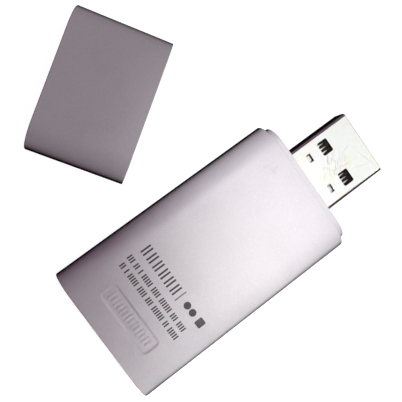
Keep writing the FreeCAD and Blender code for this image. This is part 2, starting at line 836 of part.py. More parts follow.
# Boards
def make_carrier_board():
    """Main board, notched round the four bosses and slotted for the plug's legs."""
    body = new_body("carrier_board")
    plan = new_sketch(body, "XY_Plane", "board_plan", board_bottom)
    rectangle(plan, board_rear, board_front, -(board_width / 2), board_width / 2)
    pad(body, plan, "board", board_thickness)
    notches = new_sketch(body, "XY_Plane", "notch_plan", board_bottom)
    edge = board_width / 2 + board_notch_gap
    for along in (far_boss_along, near_boss_along):
        for side in signs():
            reach = boss_radius + board_notch_gap
            near, far = ordered((boss_across - boss_radius - board_notch_gap) * side, edge * side)
            rectangle(notches, along - reach, along + reach, near, far)
    pocket(body, notches, "boss_notches", reverse=True)
    slots = new_sketch(body, "XY_Plane", "slot_plan", board_bottom)
    leg_rear = plug_rear - leg_reach
    for side in signs():
        outer = (plug_width / 2 + leg_slot_gap) * side
        inner = (plug_width / 2 - plug_sheet - leg_slot_gap) * side
        near, far = ordered(inner, outer)
        rectangle(slots, leg_rear - leg_slot_gap, leg_rear + leg_pin_width + leg_slot_gap, near, far)
    pocket(body, slots, "leg_slots", reverse=True)
    return body


def make_module_board():
    """Radio board with a row of half-round plated edges down each long side."""
    body = new_body("module_board")
    plan = new_sketch(body, "XY_Plane", "board_plan", board_top)
    rectangle(plan, module_rear, module_front, -(module_width / 2), module_width / 2)
    pad(body, plan, "board", module_thickness)
    edge_pads = new_sketch(body, "XY_Plane", "edge_pad_plan", board_top)
    for side in signs():
        circle(edge_pads, module_front - pad_inset, module_width / 2 * side, pad_radius)
    first = pocket(body, edge_pads, "edge_pads", reverse=True)
    document.recompute()
    row = body.newObject("PartDesign::LinearPattern", "edge_pad_row")
    row.Originals = [first]
    row.Direction = (origin_feature(body, "X_Axis"), [""])
    row.Reversed = True
    row.Mode = "Spacing"
    bind(row, "Offset", pad_pitch)
    bind(row, "Occurrences", pad_count)
    body.Tip = row
    return body


def make_shield_can():
    """Drawn screening can with rounded corners and two vent holes, open below."""
    body = new_body("shield_can")
    plan = new_sketch(body, "XY_Plane", "can_plan", module_top)
    half_can = can_width / 2
    rounded_rectangle(plan, can_rear, can_front, -half_can, half_can, can_round)
    pad(body, plan, "can", can_height)
    inside = new_sketch(body, "XY_Plane", "inside_plan", module_top)
    rounded_rectangle(
        inside, can_rear + can_sheet, can_front - can_sheet, -half_can + can_sheet, half_can - can_sheet,
        can_round - can_sheet)
    pocket(body, inside, "inside", can_height - can_sheet, reverse=True)
    vents = new_sketch(body, "XY_Plane", "vent_plan", module_top + can_height)
    middle = (can_rear + can_front) / 2
    half_spacing = can_vent_spacing / 2
    for side in signs():
        circle(vents, middle + half_spacing * side, ZERO, can_vent_radius)
    pocket(body, vents, "vents", can_sheet)
    return body


def box(name, low, lengths):
    """Rectangular block from its lowest corner and its three lengths."""
    block = document.addObject("Part::Box", name)
    for prop, amount in zip(("Length", "Width", "Height"), lengths):
        bind(block, prop, amount)
    for prop, amount in zip(("x", "y", "z"), low):
        bind(block, "Placement.Base." + prop, amount)
    return block


def fused(label, pieces):
    """Joins several primitives into one solid."""
    union = document.addObject("Part::MultiFuse", label)
    union.Shapes = pieces
    union.Label = label
    return union


def grouped(label, pieces):
    """Keeps several equal small pieces together as separate solids."""
    group = document.addObject("Part::Compound", label)
    group.Links = pieces
    group.Label = label
    return group


def make_aerial():
    """Printed aerial: one copper line folded to and fro on the bare end of the radio board."""
    start_along = module_rear + aerial_inset
    legs = []
    first_across = -(aerial_pitch * (AERIAL_LEGS - 1) / 2)
    for number in range(AERIAL_LEGS):
        across = first_across + aerial_pitch * number - aerial_line / 2
        corner = (start_along, across, module_top)
        legs.append(box("aerial_leg", corner, (aerial_reach, aerial_line, aerial_thickness)))
    for number in range(AERIAL_LEGS - 1):
        across = first_across + aerial_pitch * number - aerial_line / 2
        along = start_along if number % 2 else start_along + aerial_reach - aerial_line
        run = aerial_pitch + aerial_line
        legs.append(box("aerial_turn", (along, across, module_top), (aerial_line, run, aerial_thickness)))
    return fused("aerial_trace", legs)


# Parts soldered to the boards
class Package:
    """Outline of a soldered part: its moulded block and, where it has them, its leads."""

    def __init__(self, name, length, width, height):
        self.name = name
        self.length = size(name + "_length", length)
        self.width = size(name + "_width", width)
        self.height = size(name + "_height", height)

    def block(self, along, across, base):
        """Moulded block, centred on a spot of the board."""
        low = (along - self.length / 2, across - self.width / 2, base)
        return box(self.name + "_block", low, (self.length, self.width, self.height))


lead_sheet = size("lead_sheet", 0.2)
lead_width = size("lead_width", 0.4)


def leads(package, along, across, base, positions, reach, width):
    """Leads that leave the block at both long sides and lie on the board, one pair for each position."""
    pieces = []
    for side, places in positions:
        for place in places:
            middle = along + place
            if side > 0:
                start = across + package.width / 2 - lead_sheet
            else:
                start = across - package.width / 2 - reach
            low = (middle - width / 2, start, base)
            pieces.append(box(package.name + "_lead", low, (width, reach + lead_sheet, lead_sheet)))
    return pieces


class Deck:
    """Upper face of a board, on which a part's place counts from the board's front edge."""

    def __init__(self, top, front):
        self.top = top
        self.front = front

    def spot(self, name, setback, across):
        """Distance along the stick and distance from its centre plane of one part's middle."""
        return self.front - size(name + "_setback", setback), size(name + "_across", across) + ZERO


carrier_deck = Deck(board_top, board_front)
module_deck = Deck(module_top, module_front)

flash_package = Package("flash", 4.9, 3.9, 1.5)
regulator_package = Package("regulator", 6.5, 3.5, 1.6)
transistor_package = Package("transistor", 2.9, 1.3, 1.0)
surge_package = Package("surge_array", 2.9, 1.6, 1.1)
radio_package = Package("radio_chip", 5.0, 5.0, 0.9)
crystal_package = Package("crystal", 3.2, 2.5, 0.7)
tantalum_package = Package("tantalum", 3.5, 2.8, 1.9)
ferrite_package = Package("ferrite", 2.0, 1.25, 0.9)
fuse_package = Package("fuse", 3.2, 1.6, 0.8)
capacitor_package = Package("capacitor", 1.6, 0.8, 0.8)
resistor_package = Package("resistor", 1.6, 0.8, 0.45)
matching_package = Package("matching", 1.0, 0.5, 0.5)
lead_reach = size("lead_reach", 1.0)
flash_lead_pitch = size("flash_lead_pitch", 1.27)
regulator_lead_pitch = size("regulator_lead_pitch", 2.3)
regulator_tab_width = size("regulator_tab_width", 3.0)
regulator_lead_reach = size("regulator_lead_reach", 1.7)
small_lead_pitch = size("small_lead_pitch", 0.95)
small_lead_reach = size("small_lead_reach", 0.5)
end_cap_length = size("end_cap_length", 0.3)
end_cap_proud = size("end_cap_proud", 0.03)
chip_dimple = size("chip_dimple", 0.3)
chip_dimple_inset = size("chip_dimple_inset", 0.9)
chip_dimple_depth = size("chip_dimple_depth", 0.1)
lid_step = size("lid_step", 0.2)
lid_round = size("lid_round", 0.3)


def make_flash_chip():
    """Memory chip with four leads down each side."""
    along, across = module_deck.spot("flash", 3.6, 2.2)
    pitch = flash_lead_pitch
    places = [pitch * -1.5, pitch * -0.5, pitch * 0.5, pitch * 1.5]
    pieces = [flash_package.block(along, across, module_top)]
    both_sides = ((1, places), (-1, places))
    pieces += leads(flash_package, along, across, module_top, both_sides, lead_reach, lead_width)
    return fused("flash_chip", pieces)


def make_voltage_regulator():
    """Regulator with three leads on one side and a wide cooling tab on the other."""
    along, across = carrier_deck.spot("regulator", 10.0, -4.6)
    pitch = regulator_lead_pitch
    pieces = [regulator_package.block(along, across, board_top)]
    reach = regulator_lead_reach
    three = ((-1, [-pitch, ZERO, pitch]),)
    pieces += leads(regulator_package, along, across, board_top, three, reach, lead_width)
    tab = ((1, [ZERO]),)
    pieces += leads(regulator_package, along, across, board_top, tab, reach, regulator_tab_width)
    return fused("voltage_regulator", pieces)


def make_level_transistors():
    """Two small transistors that match the signal levels of the appliance."""
    pitch = small_lead_pitch
    both = []
    for side, sideways in (("inner", 3.0), ("outer", 6.6)):
        along, across = carrier_deck.spot("%s_transistor" % side, 12.3, sideways)
        pieces = [transistor_package.block(along, across, board_top)]
        places = ((-1, [-pitch, pitch]), (1, [ZERO]))
        pieces += leads(transistor_package, along, across, board_top, places, small_lead_reach, lead_width)
        both.append(fused("%s_transistor" % side, pieces))
    return grouped("level_transistors", both)


def make_surge_array():
    """Six-lead array that takes voltage surges off the plug's contacts."""
    along, across = carrier_deck.spot("surge_array", 4.4, 0.0)
    pitch = small_lead_pitch
    places = [-pitch, ZERO, pitch]
    pieces = [surge_package.block(along, across, board_top)]
    both_sides = ((1, places), (-1, places))
    pieces += leads(surge_package, along, across, board_top, both_sides, small_lead_reach, lead_width)
    return fused("surge_array", pieces)


def make_radio_chip():
    """Square radio chip with a marking dimple at its first corner."""
    body = new_body("radio_chip")
    along, across = module_deck.spot("radio_chip", 8.9, -2.4)
    half = radio_package.length / 2
    plan = new_sketch(body, "XY_Plane", "chip_plan", module_top)
    rectangle(plan, along - half, along + half, across - half, across + half)
    pad(body, plan, "block", radio_package.height)
    dimple = new_sketch(body, "XY_Plane", "dimple_plan", module_top + radio_package.height)
    circle(dimple, along - half + chip_dimple_inset, across + half - chip_dimple_inset, chip_dimple)
    pocket(body, dimple, "dimple", chip_dimple_depth)
    return body


def make_crystal():
    """Ceramic oscillator base with a seam-welded lid."""
    body = new_body("crystal")
    along, across = module_deck.spot("crystal", 3.2, -3.9)
    half_long = crystal_package.length / 2
    half_wide = crystal_package.width / 2
    plan = new_sketch(body, "XY_Plane", "base_plan", module_top)
    rectangle(plan, along - half_long, along + half_long, across - half_wide, across + half_wide)
    pad(body, plan, "base", crystal_package.height)
    lid = new_sketch(body, "XY_Plane", "lid_plan", module_top + crystal_package.height)
    rounded_rectangle(
        lid,
        along - half_long + lid_step,
        along + half_long - lid_step,
        across - half_wide + lid_step,
        across + half_wide - lid_step,
        lid_round,
    )
    pad(body, lid, "lid", lid_step)
    return body


def chip_part(package, along, across, base, crosswise=False):
    """Ceramic block between two metal end caps that stand a little proud."""
    length = package.length
    width = package.width
    half_long = length / 2
    half_wide = width / 2
    proud = end_cap_proud
    turned = (lambda a, b: (b, a)) if crosswise else (lambda a, b: (a, b))

    def piece(name, start, run, margin):
        low = turned(start, -half_wide - margin)
        lengths = turned(run, width + margin * 2)
        corner = (along + low[0], across + low[1], base)
        return box(package.name + name, corner, (lengths[0], lengths[1], package.height + margin))

    pieces = [
        piece("_middle", -half_long + end_cap_length, length - end_cap_length * 2, ZERO),
        piece("_cap", -half_long, end_cap_length, proud),
        piece("_cap", half_long - end_cap_length, end_cap_length, proud),
    ]
    return fused(package.name + "_part", pieces)


def chip_group(label, package, deck, places):
    """Several equal chip parts on one board, turned to lie across it where that is noted."""
    parts = []
    for number, (setback, sideways, crosswise) in enumerate(places):
        name = "%s_%s" % (package.name, "abcdefgh"[number])
        along, across = deck.spot(name, setback, sideways)
        parts.append(chip_part(package, along, across, deck.top, crosswise))
    return grouped(label, parts)


def make_single_chip(label, package, deck, setback, sideways):
    """One chip part as a piece of its own."""
    along, across = deck.spot(package.name, setback, sideways)
    part = chip_part(package, along, across, deck.top)
    part.Label = label
    return part


# Setback, distance from the centre plane, and whether the part lies across its board
MATCHING_PLACES = ((9.9, 3.2, False), (9.9, 4.6, False), (8.1, 3.2, True))
TANTALUM_PLACES = ((4.8, -4.9, True), (4.8, 4.9, True))
CAPACITOR_PLACES = ((8.2, 0.6, True), (9.8, 0.6, True), (9.0, 3.0, False), (6.2, 7.8, False))
RESISTOR_PLACES = (
    (11.4, 0.6, True),
    (12.6, 0.6, True),
    (7.2, 3.0, False),
    (14.2, -9.2, False),
    (11.6, -9.2, False),
)

nodes = [
    make_top_shell(),
    make_bottom_shell(),
    make_cap(),
    make_plug_shell(),
    make_plug_core(),
]
nodes += [make_contact(label, across, setback) for label, across, setback in contact_places()]
nodes += [
    make_carrier_board(),
    make_module_board(),
    make_aerial(),
    make_shield_can(),
    make_radio_chip(),
    make_flash_chip(),
    make_crystal(),
    chip_group("matching_parts", matching_package, module_deck, MATCHING_PLACES),
    make_voltage_regulator(),
    chip_group("tantalum_capacitors", tantalum_package, carrier_deck, TANTALUM_PLACES),
    make_level_transistors(),
    make_surge_array(),
    make_single_chip("ferrite_bead", ferrite_package, carrier_deck, 8.4, 7.0),
    make_single_chip("resettable_fuse", fuse_package, carrier_deck, 8.6, 5.2),
    chip_group("chip_capacitors", capacitor_package, carrier_deck, CAPACITOR_PLACES),
    chip_group("chip_resistors", resistor_package, carrier_deck, RESISTOR_PLACES),
]


def checked(node):
    """Stops where a sub-part came out empty, broken or in no solid."""
    shape = node.Shape
    if shape.isNull() or not shape.isValid() or not shape.Solids:
        raise RuntimeError("no sound solid in %s" % node.Label)
    return shape


def cut_removes_material(feature):
    """Stops where a pocket points away from its solid and takes nothing off it."""
    before = feature.BaseFeature.Shape.Volume
    if before - feature.Shape.Volume < LEAST_CUT:
        owner = feature.getParentGeoFeatureGroup()
        raise RuntimeError("%s of %s cuts nothing" % (feature.Label, owner.Label))


document.recompute()
for item in document.Objects:
    if "Invalid" in item.State or "Error" in item.State:
        raise RuntimeError("%s did not build: %s" % (item.Label, item.State))
    if item.TypeId == "PartDesign::Pocket":
        cut_removes_material(item)

os.makedirs("parts", exist_ok=True)
for node in nodes:
    shape = checked(node)
    shape.exportStep("parts/%s.step" % node.Label)
    print("%-22s %2d solid %9.2f mm3" % (node.Label, len(shape.Solids), shape.Volume))
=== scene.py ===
"""Looks of a plug-in wireless module: its finishes, printed marks, relief and light.

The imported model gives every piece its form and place. Each piece is shown here as a welded copy with
broken edges and a finish of its own, and the marks that only the surface carries are added as thin pieces.
The stick lies along X with its plug at +X, the printed face is up at +Z, and the pulled-off cap lies at +Y.
"""

import logging
import math
from dataclasses import dataclass
from enum import Enum
from typing import Sequence

import bmesh
import bpy
import numpy as np
from mathutils import Matrix, Vector


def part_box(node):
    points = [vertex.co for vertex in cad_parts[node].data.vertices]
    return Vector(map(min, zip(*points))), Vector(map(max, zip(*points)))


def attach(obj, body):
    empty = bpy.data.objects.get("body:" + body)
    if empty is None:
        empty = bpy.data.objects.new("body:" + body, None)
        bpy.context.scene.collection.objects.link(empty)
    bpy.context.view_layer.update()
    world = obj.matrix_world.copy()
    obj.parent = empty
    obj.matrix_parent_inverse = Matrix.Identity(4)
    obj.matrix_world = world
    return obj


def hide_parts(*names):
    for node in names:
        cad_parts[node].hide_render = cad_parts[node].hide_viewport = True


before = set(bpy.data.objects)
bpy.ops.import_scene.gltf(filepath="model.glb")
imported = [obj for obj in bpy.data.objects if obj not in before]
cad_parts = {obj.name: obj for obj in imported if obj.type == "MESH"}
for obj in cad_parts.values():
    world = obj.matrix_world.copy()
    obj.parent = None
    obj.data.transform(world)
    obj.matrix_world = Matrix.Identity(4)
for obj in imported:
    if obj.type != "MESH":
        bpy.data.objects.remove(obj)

log = logging.getLogger("module_looks")

# Lengths are in millimetres and angles in degrees. MM turns a length into metres.
MM = 0.001
BODY = "root"
OPEN_CONE = 180.0
PLACE = "part_place"
HALF = "part_half"
FIELD_DEPTH = 0.3
WELD_STEP = 0.0001
LEVEL_ANGLE = 0.4
NOISE_RANGE = (0.3, 0.7)
UPRIGHT_RANGE = (0.45, 0.85)
FOOT_SINK = 0.02
CROWN_ANGLE = 84.0
END_SHARE = 0.999
WHITE = (1.0, 1.0, 1.0)

Pair = tuple[float, float]
Triple = tuple[float, float, float]
Colour = Triple
Surface = tuple[np.ndarray, list[list[int]]]


class Slot(Enum):
    """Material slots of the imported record."""

    SHELL = "shell_plastic"
    STEEL = "plug_steel"
    CORE = "core_plastic"
    GOLD = "contact_gold"
    BOARD = "board"
    COPPER = "copper"
    CAN = "can_steel"
    CHIP = "chip_plastic"
    CERAMIC = "ceramic"
    TANTALUM = "tantalum_plastic"


class Shader:
    """One node material, put together socket by socket on the piece's own Object coordinates."""

    def __init__(self, name: str) -> None:
        """Starts an empty material with a Principled surface.

        Args:
            name: the material's name.
        """
        self.material = bpy.data.materials.new(name)
        self.material.use_nodes = True
        self.tree = self.material.node_tree
        self.tree.nodes.clear()
        output = self.tree.nodes.new("ShaderNodeOutputMaterial")
        self.surface = self.tree.nodes.new("ShaderNodeBsdfPrincipled")
        self.tree.links.new(self.surface.outputs["BSDF"], output.inputs["Surface"])
        place = self.tree.nodes.new("ShaderNodeTexCoord")
        self.place = place.outputs["Object"]

    def feed(self, node: bpy.types.Node, name: str | int, value: object) -> None:
        """Links a socket to an input, or sets a constant on it."""
        if isinstance(value, bpy.types.NodeSocket):
            self.tree.links.new(value, node.inputs[name])
        elif isinstance(value, tuple) and len(value) == 3 and node.inputs[name].type == "RGBA":
            node.inputs[name].default_value = (*value, 1.0)
        else:
            node.inputs[name].default_value = value

    def set(self, **values: object) -> None:
        """Feeds inputs of the Principled surface, named with underscores for spaces."""
        for name, value in values.items():
            self.feed(self.surface, name.replace("_", " ").title().replace("Ior", "IOR"), value)

    def math(self, operation: str, first: object, second: object = 0.0) -> bpy.types.NodeSocket:
        """One step of arithmetic on two numbers.

        Args:
            operation: the Math node's operation.
            first: a socket or a number.
            second: a socket or a number.

        Returns:
            The result's socket.
        """
        node = self.tree.nodes.new("ShaderNodeMath")
        node.operation = operation
        self.feed(node, 0, first)
        self.feed(node, 1, second)
        return node.outputs[0]

    def vector(
        self, operation: str, first: object, second: object = (0.0, 0.0, 0.0)
    ) -> bpy.types.NodeSocket:
        """One step of arithmetic on two vectors.

        Args:
            operation: the Vector Math node's operation.
            first: a socket or three numbers.
            second: a socket or three numbers.

        Returns:
            The resulting vector's socket.
        """
        node = self.tree.nodes.new("ShaderNodeVectorMath")
        node.operation = operation
        self.feed(node, 0, first)
        self.feed(node, 1, second)
        return node.outputs["Vector"]

    def parts(self, vector: object) -> tuple[bpy.types.NodeSocket, ...]:
        """Splits a vector into its three numbers."""
        node = self.tree.nodes.new("ShaderNodeSeparateXYZ")
        self.feed(node, 0, vector)
        return tuple(node.outputs)

    def noise(
        self,
        grain: float,
        detail: float = 2.0,
        stretch: Sequence[float] = (1.0, 1.0, 1.0),
        turn: float = 0.0,
    ) -> bpy.types.NodeSocket:
        """Cloudy noise.

        Args:
            grain: size of one cloud in millimetres.
            detail: number of finer layers.
            stretch: how many times longer the clouds are along each axis.
            turn: angle about Z, in degrees, by which the axes are turned first.

        Returns:
            A socket from 0 to 1.
        """
        turned = self.tree.nodes.new("ShaderNodeMapping")
        turned.inputs["Rotation"].default_value = (0.0, 0.0, -math.radians(turn))
        self.feed(turned, "Vector", self.place)
        node = self.tree.nodes.new("ShaderNodeTexNoise")
        scale = tuple(1.0 / (grain * MM * times) for times in stretch)
        self.feed(node, "Vector", self.vector("MULTIPLY", turned.outputs[0], scale))
        node.inputs["Scale"].default_value = 1.0
        node.inputs["Detail"].default_value = detail
        return node.outputs["Fac"]

    def cells(self, grain: float) -> bpy.types.NodeSocket:
        """Random grey of small cells.

        Args:
            grain: size of one cell in millimetres.

        Returns:
            A socket from 0 to 1, the same all over a cell.
        """
        node = self.tree.nodes.new("ShaderNodeTexVoronoi")
        self.feed(node, "Vector", self.place)
        node.inputs["Scale"].default_value = 1.0 / (grain * MM)
        return self.parts(node.outputs["Color"])[0]

    def spread(
        self, value: object, low: float, high: float, to_low: float = 0.0, to_high: float = 1.0
    ) -> bpy.types.NodeSocket:
        """Maps a range of a number to another range and clamps it.

        Args:
            value: a socket or a number.
            low: value that gives to_low.
            high: value that gives to_high.
            to_low: result at low.
            to_high: result at high.

        Returns:
            The mapped socket.
        """
        node = self.tree.nodes.new("ShaderNodeMapRange")
        self.feed(node, 0, value)
        for index, number in enumerate((low, high, to_low, to_high), 1):
            node.inputs[index].default_value = number
        return node.outputs[0]

    def uneven(self, noise: object, low: float, high: float) -> bpy.types.NodeSocket:
        """Number that wanders between two values as a noise goes through its usual range."""
        return self.spread(noise, *NOISE_RANGE, low, high)

    def blend(self, share: object, first: object, second: object) -> bpy.types.NodeSocket:
        """Mixes two colours.

        Args:
            share: share of the second colour, a socket or a number.
            first: a socket or a colour.
            second: a socket or a colour.

        Returns:
            The mixed colour's socket.
        """
        node = self.tree.nodes.new("ShaderNodeMix")
        node.data_type = "RGBA"
        factor, start, end = (socket for socket in node.inputs if socket.enabled)
        for socket, value in ((factor, share), (start, first), (end, second)):
            if isinstance(value, bpy.types.NodeSocket):
                self.tree.links.new(value, socket)
            else:
                socket.default_value = (*value, 1.0) if isinstance(value, tuple) else value
        return next(socket for socket in node.outputs if socket.enabled)

    def bump(self, height: object, depth: float, strength: float = 1.0) -> None:
        """Raises the surface's shading by a height field.

        Args:
            height: a socket from 0 to 1.
            depth: height of 1 in millimetres.
            strength: how fully the relief shows.
        """
        node = self.tree.nodes.new("ShaderNodeBump")
        node.inputs["Strength"].default_value = strength
        node.inputs["Distance"].default_value = depth * MM
        self.feed(node, "Height", height)
        if self.surface.inputs["Normal"].links:
            self.tree.links.new(self.surface.inputs["Normal"].links[0].from_socket, node.inputs["Normal"])
        self.tree.links.new(node.outputs["Normal"], self.surface.inputs["Normal"])

    def near(self, spot: Sequence[float], radii: Sequence[float]) -> bpy.types.NodeSocket:
        """Soft ellipsoid mask.

        Args:
            spot: its middle in millimetres.
            radii: its reach along each axis in millimetres.

        Returns:
            A socket that falls from 1 in the middle to 0 at the reach.
        """
        centre = tuple(part * MM for part in spot)
        reach = tuple(part * MM for part in radii)
        away = self.vector("DIVIDE", self.vector("SUBTRACT", self.place, centre), reach)
        node = self.tree.nodes.new("ShaderNodeVectorMath")
        node.operation = "LENGTH"
        self.feed(node, 0, away)
        return self.spread(node.outputs["Value"], 0.0, 1.0, 1.0, 0.0)

    def streak(self, start: Sequence[float], end: Sequence[float], width: float) -> bpy.types.NodeSocket:
        """Straight scratch in plan, thin at both ends.

        The place is split into its length along the scratch and its distance beside it, and the mask is full
        where the distance, over the half width that is left at that length, is small.

        Args:
            start: first end in plan, in millimetres.
            end: last end in plan, in millimetres.
            width: full width in millimetres.

        Returns:
            A socket that is 1 on the scratch and 0 beside it.
        """
        run = (end[0] - start[0], end[1] - start[1])
        length = math.hypot(*run)
        way = (run[0] / length, run[1] / length)
        middle = ((start[0] + end[0]) / 2 * MM, (start[1] + end[1]) / 2 * MM, 0.0)
        x, y, _ = self.parts(self.vector("SUBTRACT", self.place, middle))
        along = self.math("ADD", self.math("MULTIPLY", x, way[0]), self.math("MULTIPLY", y, way[1]))
        beside = self.math("SUBTRACT", self.math("MULTIPLY", y, way[0]), self.math("MULTIPLY", x, way[1]))
        run_share = self.math("DIVIDE", self.math("ABSOLUTE", along), length / 2 * MM)
        left = self.math("MULTIPLY", self.spread(run_share, 0.2, 1.0, 1.0, 0.0), width / 2 * MM)
        return self.math("LESS_THAN", self.math("ABSOLUTE", beside), left)

    def level(self) -> bpy.types.NodeSocket:
        """Tells how level a face is, from 0 on upright faces to 1 on level ones."""
        facing = self.tree.nodes.new("ShaderNodeNewGeometry")
        return self.math("ABSOLUTE", self.parts(facing.outputs["Normal"])[2])

    def shade_rim(self, start: float, end: float) -> bpy.types.NodeSocket:
        """Mask of upright faces that are seen nearly edge on, where a dark rim of shade is painted.

        Args:
            start: one less the cosine of the viewing angle where the mask begins.
            end: the same where it is full.

        Returns:
            A socket from 0 to 1.
        """
        node = self.tree.nodes.new("ShaderNodeLayerWeight")
        node.inputs["Blend"].default_value = 0.5
        edge_on = self.spread(node.outputs["Facing"], start, end)
        return self.math("MULTIPLY", edge_on, self.spread(self.level(), *UPRIGHT_RANGE, 1.0, 0.0))

    def within(self, low: Sequence[float], high: Sequence[float]) -> bpy.types.NodeSocket:
        """Mask of a box.

        Args:
            low: the box's low corner in millimetres.
            high: its high corner in millimetres.

        Returns:
            A socket that is 1 in the box and 0 outside.
        """
        away = self.vector("SUBTRACT", self.place, tuple((a + b) / 2 * MM for a, b in zip(low, high)))
        places = self.parts(self.vector("ABSOLUTE", away))
        along, across, up = (
            self.math("LESS_THAN", place, (b - a) / 2 * MM) for place, a, b in zip(places, low, high)
        )
        return self.math("MULTIPLY", self.math("MULTIPLY", along, across), up)

    def own(self, name: str) -> tuple[bpy.types.NodeSocket, ...]:
        """Reads a vector attribute of the piece's points as three numbers."""
        node = self.tree.nodes.new("ShaderNodeAttribute")
        node.attribute_name = name
        return self.parts(node.outputs["Vector"])

    def beyond(self, place: object, half: object, less: float) -> bpy.types.NodeSocket:
        """Mask of the places whose distance from a part's middle is over its half size less a margin."""
        away = self.math("ABSOLUTE", place)
        return self.math("GREATER_THAN", away, self.math("SUBTRACT", half, less * MM))


@dataclass(frozen=True)
class Smudge:
    """Faint handling mark: its middle and reach in millimetres and how dark it is."""

    spot: Triple
    radii: Triple
    depth: float


@dataclass(frozen=True)
class PearlPlastic:
    """Satin plastic with a lilac-silver pearl coat."""

    name: str = "pearl_plastic"
    colour: Colour = (0.66, 0.64, 0.675)
    shade: Colour = (0.63, 0.61, 0.648)
    worn: Colour = (0.45, 0.43, 0.45)
    # Painted shade: the near-black colour and the range of the dark rim painted on faces seen edge on.
    painted_rim_shade: Colour = (0.012, 0.01, 0.012)
    shade_rim: Pair = (0.3, 0.68)
    roughness: Pair = (0.39, 0.46)
    flake: float = 0.09
    flake_lift: float = 1.12
    cloud: float = 6.0
    mottle: float = 0.5
    satin: float = 0.6
    pebble: float = 0.25
    pebble_depth: float = 0.0012
    smudges: tuple[Smudge, ...] = (
        Smudge((17.6, 5.4, 8.8), (1.1, 0.8, 1.0), 0.62),
        Smudge((16.6, 6.6, 8.8), (1.6, 0.6, 1.0), 0.3),
        Smudge((-18.1, -3.5, 8.8), (0.9, 0.7, 1.0), 0.30),
        Smudge((5.0, -8.4, 8.8), (2.4, 1.0, 1.5), 0.10),
    )

    def make(self) -> bpy.types.Material:
        """Builds the material: flakes, faint clouds, handling marks, a painted dark rim of shade and a satin
        skin.
        """
        shader = Shader(self.name)
        flakes = shader.cells(self.flake)
        clouds = shader.noise(self.cloud, 3.0)
        mixed = shader.blend(shader.spread(clouds, 0.35, 0.65), self.colour, self.shade)
        for smudge in self.smudges:
            mottled = shader.spread(shader.noise(self.mottle, 3.0), 0.35, 0.6, 0.0, smudge.depth)
            share = shader.math("MULTIPLY", shader.near(smudge.spot, smudge.radii), mottled)
            mixed = shader.blend(share, mixed, self.worn)
        bright = tuple(min(1.0, part * self.flake_lift) for part in self.colour)
        mixed = shader.blend(shader.spread(flakes, 0.75, 1.0), mixed, bright)
        # Painted shade: faces seen edge on are darkened towards a near-black rim and lose their reflection.
        shade_rim = shader.shade_rim(*self.shade_rim)
        shader.set(base_color=shader.blend(shader.math("MULTIPLY", shade_rim, shade_rim), mixed, self.painted_rim_shade))
        shader.set(specular_ior_level=shader.spread(shade_rim, 0.0, 1.0, 0.5, 0.0))
        shader.set(roughness=shader.uneven(shader.noise(self.satin, 4.0), *self.roughness))
        shader.bump(shader.noise(self.pebble, 2.0), self.pebble_depth)
        return shader.material


@dataclass(frozen=True)
class Scratch:
    """Straight scratch in plan: its two ends and its width, in millimetres."""

    start: Pair
    end: Pair
    width: float


